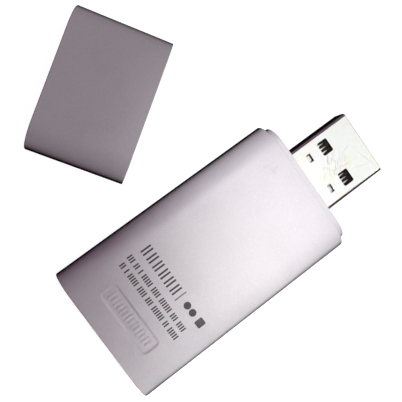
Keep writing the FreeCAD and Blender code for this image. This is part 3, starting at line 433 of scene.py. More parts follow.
@dataclass(frozen=True)
class PlatedSteel:
    """Folded sheet steel with bright nickel plating, rubbed and scratched by the socket's springs."""

    name: str = "plated_steel"
    colour: Colour = (0.57, 0.567, 0.558)
    warm: Colour = (0.58, 0.55, 0.47)
    rose: Colour = (0.57, 0.53, 0.53)
    scraped: Colour = (0.34, 0.33, 0.32)
    # Painted highlight: the tabs are the same steel, painted a pale, hardly metallic colour so that they
    # read bright.
    tab_highlight: Colour = (0.86, 0.85, 0.83)
    tabs_low: Triple = (24.17, -5.2, 5.9)
    tabs_high: Triple = (24.72, 5.2, 6.63)
    tab_highlight_metallic: float = 0.1
    # Painted shade: the upright side walls darker, and the near-black rim on faces seen edge on.
    side_shade: Colour = (0.36, 0.37, 0.36)
    side_shade_range: Pair = (0.7, 0.97)
    painted_rim_shade: Colour = (0.012, 0.011, 0.011)
    shade_rim: Pair = (0.45, 0.75)
    roughness: Pair = (0.10, 0.23)
    stains: Pair = (2.2, 1.7)
    hatch_width: float = 0.10
    hatch_angle: float = 58.0
    patch_middle: Triple = (27.6, -0.2, 6.65)
    patch_reach: Triple = (3.4, 3.2, 1.0)
    scratch_depth: float = 0.75
    scraped_roughness: float = 0.15
    upper_face: float = 6.6
    grain_width: float = 0.05
    grain_depth: float = 0.0006
    scratches: tuple[Scratch, ...] = (
        Scratch((26.6, 0.1), (29.1, 2.0), 0.10),
        Scratch((26.3, -1.0), (30.7, -1.5), 0.09),
        Scratch((27.3, 1.5), (28.4, -0.9), 0.10),
        Scratch((26.2, -0.2), (27.4, -2.0), 0.12),
        Scratch((25.2, 0.9), (26.6, -0.6), 0.09),
        Scratch((28.9, 0.2), (31.8, 1.2), 0.07),
        Scratch((29.6, -2.6), (32.9, -3.7), 0.07),
        Scratch((32.2, -0.6), (33.6, -4.9), 0.08),
        Scratch((23.9, -1.6), (25.6, -0.2), 0.08),
    )

    def make(self) -> bpy.types.Material:
        """Builds the material: rolled grain, warm tints, a hatched patch, scratches, painted tab highlights
        and painted shade.
        """
        shader = Shader(self.name)
        tint = shader.spread(shader.noise(self.stains[0], 2.0), 0.5, 0.68, 0.0, 0.75)
        mixed = shader.blend(tint, self.colour, self.warm)
        blush = shader.spread(shader.noise(self.stains[1], 2.0, turn=40.0), 0.55, 0.72, 0.0, 0.6)
        mixed = shader.blend(blush, mixed, self.rose)
        lines = shader.noise(self.hatch_width, 2.0, (14.0, 1.0, 1.0), self.hatch_angle)
        fine = shader.spread(lines, 0.56, 0.64)
        patch = shader.near(self.patch_middle, self.patch_reach)
        hatched = shader.math("MULTIPLY", fine, shader.spread(patch, 0.1, 0.7, 0.0, 0.7))
        for scratch in self.scratches:
            cut = shader.streak(scratch.start, scratch.end, scratch.width)
            hatched = shader.math("MAXIMUM", hatched, shader.math("MULTIPLY", cut, self.scratch_depth))
        upper = shader.math("GREATER_THAN", shader.parts(shader.place)[2], self.upper_face * MM)
        hatched = shader.math("MULTIPLY", hatched, upper)
        grain = shader.noise(self.grain_width, 2.0, (30.0, 1.0, 1.0))
        rough = shader.uneven(grain, *self.roughness)
        mixed = shader.blend(hatched, mixed, self.scraped)
        # Painted highlight on the steel tabs in the latch holes.
        tab_highlight_mask = shader.within(self.tabs_low, self.tabs_high)
        mixed = shader.blend(tab_highlight_mask, mixed, self.tab_highlight)
        # Painted shade on the upright side walls.
        side_shade_mask = shader.spread(shader.level(), *self.side_shade_range, 1.0, 0.0)
        mixed = shader.blend(side_shade_mask, mixed, self.side_shade)
        # Painted shade: faces seen edge on are darkened towards a near-black rim, their reflection too.
        shade_rim = shader.shade_rim(*self.shade_rim)
        shader.set(base_color=shader.blend(shade_rim, mixed, self.painted_rim_shade))
        shader.set(specular_tint=shader.blend(shade_rim, WHITE, self.painted_rim_shade))
        shader.set(metallic=shader.spread(tab_highlight_mask, 0.0, 1.0, 1.0, self.tab_highlight_metallic))
        rougher = shader.math("MULTIPLY", hatched, self.scraped_roughness)
        shader.set(roughness=shader.math("ADD", rough, rougher))
        shader.bump(grain, self.grain_depth)
        return shader.material


@dataclass(frozen=True)
class InsulatorPlastic:
    """Black moulded insulator with painted highlights on its thin rib ends, where light through the latch
    holes falls.
    """

    rib_rows: tuple[float, ...]
    rib_reach: Pair
    rib_width: float
    rib_level: float
    name: str = "insulator_plastic"
    colour: Colour = (0.006, 0.005, 0.005)
    haze: Colour = (0.05, 0.038, 0.032)
    # Painted highlight colour for the rib ends.
    lit: Colour = (0.97, 0.95, 0.92)
    roughness: Pair = (0.5, 0.65)
    gloss: float = 0.08

    def make(self) -> bpy.types.Material:
        """Builds the material: brown haze, a mould grain and painted highlights on ribs that end in a point.
        """
        shader = Shader(self.name)
        hazy = shader.spread(shader.noise(0.5, 3.0), 0.4, 0.7)
        mixed = shader.blend(hazy, self.colour, self.haze)
        upper = shader.math("GREATER_THAN", shader.parts(shader.place)[2], self.rib_level * MM)
        start, end = self.rib_reach
        # Painted highlight: a pale sliver on each rib end, narrowing to a point.
        for across in self.rib_rows:
            rib_highlight_mask = shader.streak((start, across), (end, across), self.rib_width)
            mixed = shader.blend(shader.math("MULTIPLY", rib_highlight_mask, upper), mixed, self.lit)
        shader.set(base_color=mixed, specular_ior_level=self.gloss)
        shader.set(roughness=shader.uneven(shader.noise(0.1, 2.0), *self.roughness))
        shader.bump(shader.noise(0.06, 2.0), 0.002)
        return shader.material


@dataclass(frozen=True)
class PlainMetal:
    """Plated or bare metal with a drawn grain along X."""

    name: str
    colour: Colour
    roughness: Pair = (0.28, 0.40)
    tarnish: float = 0.7

    def make(self) -> bpy.types.Material:
        """Builds the material: tarnish clouds and a drawn grain."""
        shader = Shader(self.name)
        dull = tuple(part * self.tarnish for part in self.colour)
        tarnish = shader.spread(shader.noise(1.2, 3.0), 0.5, 0.8, 0.0, 0.6)
        shader.set(base_color=shader.blend(tarnish, self.colour, dull), metallic=1.0)
        grain = shader.noise(0.04, 2.0, (20.0, 1.0, 1.0))
        shader.set(roughness=shader.uneven(grain, *self.roughness))
        shader.bump(grain, 0.0008)
        return shader.material


@dataclass(frozen=True)
class SolderMask:
    """Green lacquered circuit board with tracks under the lacquer and bare laminate at its edges."""

    name: str = "solder_mask"
    colour: Colour = (0.02, 0.13, 0.06)
    track: Colour = (0.05, 0.24, 0.10)
    laminate: Colour = (0.42, 0.38, 0.2)
    roughness: Pair = (0.3, 0.42)
    pitch: float = 2.4
    track_gap: float = 0.06
    track_height: float = 0.03

    def make(self) -> bpy.types.Material:
        """Builds the material: tracks as bands of a brick pattern, laminate where the face isn't level."""
        shader = Shader(self.name)
        tracks = shader.tree.nodes.new("ShaderNodeTexBrick")
        shader.feed(tracks, "Vector", shader.place)
        tracks.inputs["Scale"].default_value = 1.0 / (self.pitch * MM)
        tracks.inputs["Mortar Size"].default_value = self.track_gap
        covered = shader.blend(tracks.outputs["Fac"], self.colour, self.track)
        edge = shader.math("LESS_THAN", shader.level(), 0.5)
        shader.set(base_color=shader.blend(edge, covered, self.laminate), coat_weight=0.4)
        shader.set(roughness=shader.uneven(shader.noise(0.3, 2.0), *self.roughness))
        shader.bump(tracks.outputs["Fac"], self.track_height)
        return shader.material


@dataclass(frozen=True)
class SmallPart:
    """Part soldered to a board: a body, bright ends that reach past it, and a top of its own."""

    name: str
    colour: Colour
    top: Colour
    metal_top: bool = False
    top_depth: float = 0.06
    end_length: float = 0.0
    lead_reach: float = 0.0
    stripe: float = 0.0
    tin: Colour = (0.74, 0.73, 0.70)
    roughness: Pair = (0.4, 0.6)
    tin_polish: float = 0.2
    stripe_shade: float = 0.45

    def make(self) -> bpy.types.Material:
        """Builds the material from the part's own place and half size, which its points carry."""
        shader = Shader(self.name)
        along, across, up = shader.own(PLACE)
        half_along, half_across, half_up = shader.own(HALF)
        grainy = shader.spread(shader.noise(0.12, 3.0), 0.35, 0.7, 0.0, 0.5)
        pale = tuple(min(1.0, part * 1.35 + 0.01) for part in self.colour)
        mixed = shader.blend(grainy, self.colour, pale)
        lid = shader.math("GREATER_THAN", up, shader.math("SUBTRACT", half_up, self.top_depth * MM))
        mixed = shader.blend(lid, mixed, self.top)
        if self.stripe:
            far = shader.math("SUBTRACT", half_along, (self.end_length + self.stripe) * MM)
            band = shader.math("MULTIPLY", shader.math("GREATER_THAN", along, far), lid)
            mixed = shader.blend(band, mixed, tuple(part * self.stripe_shade for part in self.colour))
        worn = shader.uneven(shader.noise(0.2, 2.0), *self.roughness)
        metal: list[bpy.types.NodeSocket] = [lid] if self.metal_top else []
        if self.end_length:
            metal.append(shader.beyond(along, half_along, self.end_length))
        if self.lead_reach:
            metal.append(shader.beyond(across, half_across, self.lead_reach))
        for bright in metal:
            mixed = shader.blend(bright, mixed, self.tin)
            worn = shader.math("SUBTRACT", worn, shader.math("MULTIPLY", bright, self.tin_polish))
            shader.set(metallic=bright)
        shader.set(base_color=mixed, roughness=worn)
        shader.bump(shader.noise(0.05, 2.0), 0.0015)
        return shader.material


@dataclass(frozen=True)
class Ink:
    """Dark grey pad-printed ink."""

    name: str = "pad_ink"
    colour: Colour = (0.05, 0.044, 0.048)
    thinned: float = 1.7
    roughness: Pair = (0.45, 0.6)

    def make(self) -> bpy.types.Material:
        """Builds the material: uneven cover and a matt skin."""
        shader = Shader(self.name)
        thin = tuple(part * self.thinned for part in self.colour)
        cover = shader.spread(shader.noise(0.18, 3.0), 0.45, 0.75, 0.0, 0.6)
        shader.set(base_color=shader.blend(cover, self.colour, thin))
        shader.set(roughness=shader.uneven(shader.noise(0.1, 2.0), *self.roughness))
        shader.bump(shader.noise(0.08, 2.0), 0.001)
        return shader.material


def weld(vertices: np.ndarray, triangles: np.ndarray) -> tuple[np.ndarray, np.ndarray]:
    """Merges vertices that share a place and drops triangles that collapse.

    Args:
        vertices: places in metres, one row each.
        triangles: three vertex numbers a row.

    Returns:
        The unique places and the renumbered triangles.
    """
    steps = np.round(vertices / (WELD_STEP * MM)).astype(np.int64)
    _, first, renumbered = np.unique(steps, axis=0, return_index=True, return_inverse=True)
    triangles = renumbered.reshape(-1)[triangles]
    a, b, c = triangles.T
    return vertices[first], triangles[(a != b) & (b != c) & (c != a)]


def node_arrays(node: str) -> tuple[np.ndarray, np.ndarray]:
    """Reads a CAD node's welded vertices and triangles.

    Args:
        node: the node's name.

    Returns:
        Places in metres and triangles.
    """
    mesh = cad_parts[node].data
    vertices = np.empty(len(mesh.vertices) * 3, np.float32)
    mesh.vertices.foreach_get("co", vertices)
    mesh.calc_loop_triangles()
    triangles = np.empty(len(mesh.loop_triangles) * 3, np.int32)
    mesh.loop_triangles.foreach_get("vertices", triangles)
    return weld(vertices.reshape(-1, 3).astype(float), triangles.reshape(-1, 3))


def put(name: str, mesh: bpy.types.Mesh, material: bpy.types.Material) -> bpy.types.Object:
    """Places a finished mesh in the scene as a piece of the object.

    Args:
        name: the piece's name.
        mesh: its mesh, in metres.
        material: its finish.

    Returns:
        The new object, riding on the body.
    """
    piece = bpy.data.objects.new(name, mesh)
    bpy.context.scene.collection.objects.link(piece)
    mesh.materials.append(material)
    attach(piece, BODY)
    log.info("%s: %d faces", name, len(mesh.polygons))
    return piece


def mark_parts(mesh: bpy.types.Mesh, turned: bool) -> None:
    """Writes on each point its place in its own part and that part's half size, as two vectors.

    Parts are told apart by passing the lowest point number along every edge until nothing changes. A part's
    middle and half size are those of its box.

    Args:
        mesh: the mesh of one part or several.
        turned: swaps X and Y for parts that lie across, so that the first number runs along every part.
    """
    points = np.empty(len(mesh.vertices) * 3, np.float32)
    mesh.vertices.foreach_get("co", points)
    points = points.reshape(-1, 3)
    edges = np.empty(len(mesh.edges) * 2, np.int32)
    mesh.edges.foreach_get("vertices", edges)
    one, other = edges.reshape(-1, 2).T
    label = np.arange(len(points))
    while True:
        lowest = label.copy()
        np.minimum.at(lowest, one, label[other])
        np.minimum.at(lowest, other, label[one])
        if np.array_equal(lowest, label):
            break
        label = lowest
    names, part = np.unique(label, return_inverse=True)
    low = np.full((len(names), 3), np.inf)
    high = -low
    np.minimum.at(low, part, points)
    np.maximum.at(high, part, points)
    place = points - ((low + high) / 2)[part]
    half = ((high - low) / 2)[part]
    if turned:
        lying = half[:, 1] > half[:, 0]
        place[lying] = place[lying][:, [1, 0, 2]]
        half[lying] = half[lying][:, [1, 0, 2]]
    for name, values in ((PLACE, place), (HALF, half)):
        attribute = mesh.attributes.new(name, "FLOAT_VECTOR", "POINT")
        attribute.data.foreach_set("vector", values.astype(np.float32).ravel())


@dataclass(frozen=True)
class Dress:
    """How a welded copy of a CAD node is finished: width of its broken edges, crease and part marks."""

    material: bpy.types.Material
    slot: Slot
    edge: float
    segments: int = 2
    crease: float = 32.0
    marked: bool = False
    turned: bool = False

    def copy(self, node: str, name: str) -> bpy.types.Object:
        """Welded copy of a CAD node with level faces joined, smooth curves and broken edges.

        Args:
            node: the CAD node that the piece stands for.
            name: the piece's name.

        Returns:
            The new piece.
        """
        vertices, triangles = node_arrays(node)
        mesh = bpy.data.meshes.new(name)
        mesh.from_pydata(vertices, [], triangles.tolist())
        work = bmesh.new()
        work.from_mesh(mesh)
        flat = math.radians(LEVEL_ANGLE)
        bmesh.ops.dissolve_limit(work, angle_limit=flat, verts=work.verts, edges=work.edges)
        sharp = math.radians(self.crease)
        for face in work.faces:
            face.smooth = True
        for line in work.edges:
            line.smooth = line.is_manifold and line.calc_face_angle(0.0) < sharp
        work.to_mesh(mesh)
        work.free()
        if self.marked:
            mark_parts(mesh, self.turned)
        piece = put(name, mesh, self.material)
        bevel = piece.modifiers.new("broken_edges", "BEVEL")
        bevel.width = self.edge * MM
        bevel.segments = self.segments
        bevel.limit_method = "ANGLE"
        bevel.angle_limit = sharp
        bevel.harden_normals = True
        bevel.use_clamp_overlap = True
        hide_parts(node)
        return piece


def stack(rings: Sequence[np.ndarray], levels: Sequence[float]) -> Surface:
    """Closed surface through plan outlines that lie one above the other.

    Args:
        rings: outlines with equal numbers of corners, anticlockwise from above, in millimetres.
        levels: each outline's level.

    Returns:
        Vertices in millimetres and faces.
    """
    count = len(rings[0])
    points = [np.column_stack([ring, np.full(count, level)]) for ring, level in zip(rings, levels)]
    here = np.arange(count)
    following = np.roll(here, -1)
    band = np.column_stack([here, following, following + count, here + count])
    faces: list[list[int]] = [here[::-1].tolist()]
    for number in range(len(rings) - 1):
        faces += (band + number * count).tolist()
    faces.append((here + (len(rings) - 1) * count).tolist())
    return np.vstack(points), faces


def gathered(surfaces: Sequence[Surface]) -> Surface:
    """Joins several surfaces into one list of vertices and faces."""
    vertices: list[np.ndarray] = []
    faces: list[list[int]] = []
    start = 0
    for points, polygons in surfaces:
        faces += [[corner + start for corner in polygon] for polygon in polygons]
        vertices.append(points)
        start += len(points)
    return np.vstack(vertices), faces


def mesh_of(name: str, surface: Surface) -> bpy.types.Mesh:
    """Turns a surface in millimetres into a mesh in metres."""
    mesh = bpy.data.meshes.new(name)
    mesh.from_pydata(surface[0] * MM, [], surface[1])
    mesh.update()
    return mesh


def rounded_bar(
    centre: Sequence[float], along: float, across: float, radius: float, steps: int = 5
) -> np.ndarray:
    """Outline of a rectangle with round corners.

    Each corner is a quarter circle, so a point is the corner's centre plus the radius times the cosine and
    sine of an angle that runs once round the outline.

    Args:
        centre: middle of the bar.
        along: length along X.
        across: width along Y.
        radius: corner radius.
        steps: points on each corner.

    Returns:
        Points in order, anticlockwise.
    """
    angles = (np.arange(4)[:, None] * 90.0 + np.linspace(0.0, 90.0, steps)[None, :]).ravel()
    turn = np.radians(angles)
    signs = np.repeat(np.array([[1, 1], [-1, 1], [-1, -1], [1, -1]]), steps, axis=0)
    corner = signs * (np.array([along, across]) / 2 - radius)
    return np.array(centre) + corner + radius * np.column_stack([np.cos(turn), np.sin(turn)])


def dome(
    centre: Sequence[float], along: float, across: float, base: float, height: float, steps: int = 6
) -> Surface:
    """Long rounded bump.

    A point lies beside the bump's spine by half its width times the cosine of an angle and above its base by
    its height times the sine, while the angle rises from the edge to near the crown.

    Args:
        centre: middle of the bump.
        along: length along X.
        across: width along Y.
        base: level of its foot.
        height: height of its crown.
        steps: outlines from foot to crown.

    Returns:
        A closed surface.
    """
    radius = across / 2
    angles = np.linspace(0.0, math.radians(CROWN_ANGLE), steps)
    rings = []
    for cosine in np.cos(angles):
        less = radius * (1.0 - cosine)
        rings.append(rounded_bar(centre, along - less * 2, across - less * 2, (radius - less) * END_SHARE))
    levels = base + height * np.sin(angles)
    return stack([rings[0], *rings], [base - FOOT_SINK, *levels])


@dataclass(frozen=True)
class Row:
    """One row of printed strokes: its middle along the stick, heights, widths and groups."""

    along: float
    height: float
    stroke: float
    pitch: float
    first: float
    groups: tuple[int, ...]
    gap: float = 1.0
    corner_share: float = 0.35

    def strokes(self, low: float, high: float) -> list[Surface]:
        """Upright strokes side by side across the stick, with a wider gap between groups.

        Args:
            low: level of the film's underside.
            high: level of its face.

        Returns:
            One thin prism for each stroke.
        """
        offsets: list[float] = []
        position = 0.0
        for count in self.groups:
            offsets += [position + number for number in range(count)]
            position += count + self.gap
        marks = []
        for offset in offsets:
            centre = (self.along, self.first - offset * self.pitch)
            outline = rounded_bar(centre, self.height, self.stroke, self.stroke * self.corner_share)
            marks.append(stack([outline, outline], [low, high]))
        return marks


@dataclass
class PrintedMarks:
    """Pad-printed marks on the upper face: plain strokes and shapes in three rows."""

    face: float
    film: float = 0.008
    large: Row = Row(-7.1, 2.0, 0.3, 0.64, 7.6, (2, 2, 2, 2, 2, 2), 0.45)
    small: tuple[Row, ...] = (
        Row(-9.9, 1.05, 0.24, 0.43, 8.1, (3, 2, 1, 5, 4, 6, 3, 4)),
        Row(-11.6, 1.05, 0.24, 0.43, 7.8, (2, 1, 5, 4, 3, 6, 2, 5)),
    )
    divider: Triple = (-1.9, 2.3, 0.16)
    divider_corner: float = 0.048
    discs: tuple[float, ...] = (-3.8, -5.25)
    disc_size: float = 1.24
    disc_round: float = 0.499
    block: Triple = (-7.3, 1.5, 1.3)
    block_corner: float = 0.2

    def shape(self, across: float, length: float, width: float, corner: float) -> Surface:
        """One plain shape of the large row, with round corners."""
        outline = rounded_bar((self.large.along, across), length, width, corner, steps=9)
        return stack([outline, outline], [self.face, self.face + self.film])

    def build(self) -> list[bpy.types.Object]:
        """Builds the rows and the plain shapes, and inks them.

        Returns:
            The new pieces.
        """
        ink = Ink().make()
        low, high = self.face, self.face + self.film
        large = self.large.strokes(low, high)
        small = [mark for row in self.small for mark in row.strokes(low, high)]
        across, length, width = self.divider
        shapes = [self.shape(across, length, width, self.divider_corner)]
        size = self.disc_size
        for across in self.discs:
            shapes.append(self.shape(across, size, size, size * self.disc_round))
        across, length, width = self.block
        shapes.append(self.shape(across, length, width, self.block_corner))
        marks = {"print_large_strokes": large, "print_small_strokes": small, "print_plain_shapes": shapes}
        return [put(name, mesh_of(name, gathered(part)), ink) for name, part in marks.items()]


@dataclass
class PlateRelief:
    """Low rounded bars side by side in the sunk field, as long as the field is wide."""

    floor: float
    middle: float = -15.68
    pitch: float = 0.74
    count: int = 14
    lengths: tuple[float, ...] = (1.75, 1.3)
    width: float = 0.36
    height: float = 0.2

    def build(self) -> list[bpy.types.Object]:
        """Builds the bars in the housing's own plastic.

        Returns:
            The new piece.
        """
        start = self.pitch * (self.count - 1) / 2
        bars = []
        for number in range(self.count):
            centre = (self.middle, start - number * self.pitch)
            along = self.lengths[number % len(self.lengths)]
            bars.append(dome(centre, along, self.width, self.floor, self.height))
        mesh = mesh_of("plate_relief", gathered(bars))
        mesh.polygons.foreach_set("use_smooth", np.ones(len(mesh.polygons), bool))
        # The painted dark rim of shade is kept to faces seen almost exactly edge on.
        plastic = PearlPlastic(name="relief_plastic", shade_rim=(0.9, 1.0))
        return [put("plate_relief", mesh, plastic.make())]


@dataclass
class Housing:
    """Moulded stick and its pulled-off cap."""

    edge: float = 0.05

    def build(self) -> list[bpy.types.Object]:
        """Dresses the two half shells and the cap.

        Returns:
            The new pieces.
        """
        pearl = Dress(PearlPlastic().make(), Slot.SHELL, self.edge)
        names = {"top_shell": "upper_housing", "bottom_shell": "lower_housing", "cap": "pulled_off_cap"}
        return [pearl.copy(node, name) for node, name in names.items()]


@dataclass
class Plug:
    """Folded steel plug with its insulator and contacts."""

    edge: float = 0.04
    rib_rows: tuple[float, ...] = (-3.87, -3.17, -2.47, 2.47, 3.17, 3.87)
    rib_reach: Pair = (25.4, 28.2)
    rib_width: float = 0.24
    rib_level: float = 5.97

    def build(self) -> list[bpy.types.Object]:
        """Dresses the sleeve, the insulator and the four contacts.

        Returns:
            The new pieces.
        """
        steel = Dress(PlatedSteel().make(), Slot.STEEL, self.edge)
        plastic = InsulatorPlastic(self.rib_rows, self.rib_reach, self.rib_width, self.rib_level)
        black = Dress(plastic.make(), Slot.CORE, self.edge)
        gold = Dress(PlainMetal("contact_gold", (0.83, 0.62, 0.28)).make(), Slot.GOLD, self.edge)
        pieces = [steel.copy("plug_shell", "plug_sleeve"), black.copy("plug_core", "plug_insulator")]
        for contact in ("power", "data_minus", "data_plus", "ground"):
            pieces.append(gold.copy("contact_" + contact, contact + "_strip"))
        return pieces


@dataclass
class Electronics:
    """Two boards and the parts soldered to them, closed in by the housing."""

    edge: float = 0.02
    end_length: float = 0.3
    lead_reach: float = 1.0
    power_reach: float = 1.7
    short_reach: float = 0.5
    lid_height: float = 0.15
    epoxy: Colour = (0.022, 0.022, 0.024)
    glazed: Colour = (0.035, 0.034, 0.036)

    def chip(self, name: str, reach: float = 0.0) -> SmallPart:
        """Black moulded chip whose leads reach past its body."""
        return SmallPart(name, self.epoxy, (0.03, 0.03, 0.032), lead_reach=reach)

    def block(self, name: str, colour: Colour, top: Colour, stripe: float = 0.0) -> SmallPart:
        """Block between two bright end caps."""
        return SmallPart(name, colour, top, end_length=self.end_length, stripe=stripe)

    def build(self) -> list[bpy.types.Object]:
        """Dresses the boards, the aerial, the shield can and every soldered part.

        Returns:
            The new pieces.
        """
        mask = Dress(SolderMask().make(), Slot.BOARD, self.edge)
        copper = Dress(PlainMetal("etched_copper", (0.78, 0.45, 0.24)).make(), Slot.COPPER, self.edge)
        tin_plate = PlainMetal("tinned_steel", (0.7, 0.7, 0.68), (0.35, 0.47))
        tinned = Dress(tin_plate.make(), Slot.CAN, self.edge)
        tan, brown = (0.42, 0.28, 0.16), (0.36, 0.24, 0.14)
        green, pale_green = (0.04, 0.16, 0.08), (0.05, 0.2, 0.1)
        oscillator = SmallPart("oscillator", (0.05, 0.04, 0.035), (0.7, 0.7, 0.68), True, self.lid_height)
        small_parts = (
            ("radio_chip", self.chip("radio_package"), Slot.CHIP),
            ("flash_chip", self.chip("memory_package", self.lead_reach), Slot.CHIP),
            ("voltage_regulator", self.chip("regulator_package", self.power_reach), Slot.CHIP),
            ("level_transistors", self.chip("transistor_package", self.short_reach), Slot.CHIP),
            ("surge_array", self.chip("surge_package", self.short_reach), Slot.CHIP),
            ("crystal", oscillator, Slot.CAN),
            ("matching_parts", self.block("matching_ceramic", tan, brown), Slot.CERAMIC),
            ("chip_capacitors", self.block("capacitor_ceramic", tan, brown), Slot.CERAMIC),
            ("chip_resistors", self.block("resistor_ceramic", (0.7, 0.69, 0.66), self.glazed), Slot.CERAMIC),
            ("ferrite_bead", self.block("bead_ferrite", (0.06, 0.06, 0.062), self.glazed), Slot.CERAMIC),
            ("resettable_fuse", self.block("fuse_ceramic", green, pale_green), Slot.CERAMIC),
            (
                "tantalum_capacitors",
                self.block("tantalum_moulding", (0.72, 0.42, 0.06), (0.74, 0.45, 0.08), 0.5),
                Slot.TANTALUM,
            ),
        )
        pieces = [
            mask.copy("carrier_board", "main_board"),
            mask.copy("module_board", "radio_board"),
            copper.copy("aerial_trace", "printed_aerial"),
            tinned.copy("shield_can", "screening_can"),
        ]
        for node, finish, slot in small_parts:
            turned = finish.end_length > 0.0
            dress = Dress(finish.make(), slot, self.edge, marked=True, turned=turned)
            pieces.append(dress.copy(node, node + "_dressed"))
        return pieces


@dataclass(frozen=True)
class Lamp:
    """One panel light: its place and aim in millimetres, and the light that it throws at its aim."""

    name: str
    place: Triple
    aim: Triple
    size: float
    light: float
    colour: Colour
    cone: float = OPEN_CONE


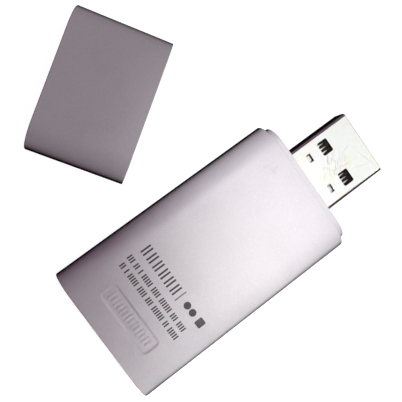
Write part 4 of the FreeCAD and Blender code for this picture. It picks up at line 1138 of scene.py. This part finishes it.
@dataclass
class Studio:
    """Pale floor, dim room, panel lights and the camera."""

    eye: Triple = (-9.70, 17.44, 104.21)
    forward: Triple = (0.14717, -0.09208, -0.98482)
    upward: Triple = (0.58491, 0.81102, 0.01158)
    lens: float = 53.7
    sensor: float = 36.0
    clip: Pair = (0.01, 10.0)
    backdrop: Colour = (0.93, 0.93, 0.93)
    floor_colour: Colour = (0.3, 0.3, 0.3)
    floor_glow: float = 0.97
    room: Colour = (0.115, 0.062, 0.088)
    low_room: Colour = (0.03, 0.021, 0.026)
    room_ramp: Pair = (0.38, 0.6)
    reach: float = 2000.0
    lamps: tuple[Lamp, ...] = (
        Lamp("middle_grid", (86.0, -93.0, 400.0), (1.0, -8.0, 8.8), 15.0, 1.33, (0.98, 1.02, 0.97), 8.6),
        Lamp("plug_end_grid", (20.0, 60.0, 420.0), (20.0, 0.0, 8.8), 15.0, 2.8, WHITE, 8.3),
        Lamp("near_side_grid", (75.0, -135.0, 400.0), (-10.0, -50.0, 8.8), 20.0, 7.8, WHITE, 12.8),
        Lamp("side_panel", (408.0, -297.0, 433.0), (0.0, 0.0, 4.4), 250.0, 0.93, (0.93, 0.99, 0.92)),
        Lamp("far_panel", (60.0, 400.0, 220.0), (0.0, 0.0, 4.4), 450.0, 0.32, (0.42, 0.27, 0.5)),
        Lamp("rear_panel", (-500.0, -60.0, 65.0), (0.0, 0.0, 4.4), 120.0, 0.22, WHITE),
        Lamp("plug_panel", (179.0, -70.0, 406.0), (25.0, 0.0, 6.6), 200.0, 0.33, (0.95, 1.01, 0.99)),
    )

    def camera(self) -> None:
        """Sets the camera where its straight edges meet the picture's, looking down on the printed face."""
        data = bpy.data.cameras.new("camera")
        data.lens = self.lens
        data.sensor_width = self.sensor
        data.clip_start, data.clip_end = self.clip
        camera = bpy.data.objects.new("camera", data)
        bpy.context.scene.collection.objects.link(camera)
        back = -Vector(self.forward).normalized()
        right = Vector(self.upward).cross(back).normalized()
        up = back.cross(right)
        turn = Matrix((right, up, back)).transposed().to_4x4()
        camera.matrix_world = Matrix.Translation(Vector(self.eye) * MM) @ turn
        bpy.context.scene.camera = camera

    def panel(self, lamp: Lamp) -> None:
        """Sets up one soft panel light that the camera doesn't see.

        A grid on the panel lets light out within a cone only, and narrows it so that the brightness on the
        axis rises by the cone's tangent over the tangent less the angle. The power allows for that.

        Args:
            lamp: the panel's place, aim, size and brightness.
        """
        place, aim = (Vector(point) * MM for point in (lamp.place, lamp.aim))
        half = math.radians(lamp.cone) / 2
        narrowing = 1.0 if lamp.cone >= OPEN_CONE else (math.tan(half) - half) / math.tan(half)
        data = bpy.data.lights.new(lamp.name, "AREA")
        data.shape = "SQUARE"
        data.size = lamp.size * MM
        data.spread = math.radians(lamp.cone)
        data.energy = lamp.light * math.pi * (aim - place).length_squared * narrowing
        data.color = lamp.colour
        panel = bpy.data.objects.new(lamp.name, data)
        panel.visible_camera = False
        bpy.context.scene.collection.objects.link(panel)
        facing = (aim - place).to_track_quat("-Z", "Y")
        panel.matrix_world = Matrix.Translation(place) @ facing.to_matrix().to_4x4()

    def floor(self) -> None:
        """Lays the pale floor, which takes the shadows but throws no light back on the object."""
        signs = np.array([[-1.0, -1.0, 0.0], [1.0, -1.0, 0.0], [1.0, 1.0, 0.0], [-1.0, 1.0, 0.0]])
        corners = signs * self.reach
        mesh = mesh_of("floor", (corners, [[0, 1, 2, 3]]))
        shader = Shader("pale_floor")
        shader.set(base_color=self.floor_colour, roughness=0.95, specular_ior_level=0.0)
        shader.set(emission_color=WHITE, emission_strength=self.floor_glow)
        floor = bpy.data.objects.new("floor", mesh)
        floor.visible_diffuse = False
        floor.visible_glossy = False
        mesh.materials.append(shader.material)
        bpy.context.scene.collection.objects.link(floor)

    def surround(self) -> None:
        """Dim room that darkens towards the floor, with a pale backdrop where the camera looks."""
        world = bpy.data.worlds.new("surround")
        bpy.context.scene.world = world
        world.use_nodes = True
        tree = world.node_tree
        tree.nodes.clear()
        output = tree.nodes.new("ShaderNodeOutputWorld")
        way = tree.nodes.new("ShaderNodeTexCoord")
        split = tree.nodes.new("ShaderNodeSeparateXYZ")
        tree.links.new(way.outputs["Generated"], split.inputs[0])
        ramp = tree.nodes.new("ShaderNodeValToRGB")
        height = tree.nodes.new("ShaderNodeMapRange")
        height.inputs["From Min"].default_value = -1.0
        tree.links.new(split.outputs[2], height.inputs["Value"])
        tree.links.new(height.outputs[0], ramp.inputs[0])
        stops = zip(ramp.color_ramp.elements, self.room_ramp, (self.low_room, self.room))
        for stop, position, colour in stops:
            stop.position = position
            stop.color = (*colour, 1.0)
        room = tree.nodes.new("ShaderNodeBackground")
        tree.links.new(ramp.outputs[0], room.inputs["Color"])
        backdrop = tree.nodes.new("ShaderNodeBackground")
        backdrop.inputs["Color"].default_value = (*self.backdrop, 1.0)
        ray = tree.nodes.new("ShaderNodeLightPath")
        mix = tree.nodes.new("ShaderNodeMixShader")
        tree.links.new(ray.outputs["Is Camera Ray"], mix.inputs[0])
        tree.links.new(room.outputs[0], mix.inputs[1])
        tree.links.new(backdrop.outputs[0], mix.inputs[2])
        tree.links.new(mix.outputs[0], output.inputs["Surface"])

    def build(self) -> None:
        """Puts up the camera, the floor, the panel lights and the dim room."""
        self.camera()
        self.floor()
        for lamp in self.lamps:
            self.panel(lamp)
        self.surround()
        bpy.context.scene.view_settings.view_transform = "Standard"


def main() -> None:
    """Builds the object and its surroundings in order."""
    logging.basicConfig(level=logging.INFO, format="%(name)s: %(message)s")
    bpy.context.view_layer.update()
    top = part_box("top_shell")[1].z / MM
    pieces: list[bpy.types.Object] = []
    assemblies = (
        Housing(),
        Plug(),
        Electronics(),
        PrintedMarks(face=top),
        PlateRelief(floor=top - FIELD_DEPTH),
    )
    for assembly in assemblies:
        pieces += assembly.build()
    Studio().build()
    log.info("%d pieces", len(pieces))


if __name__ == "__main__":
    main()
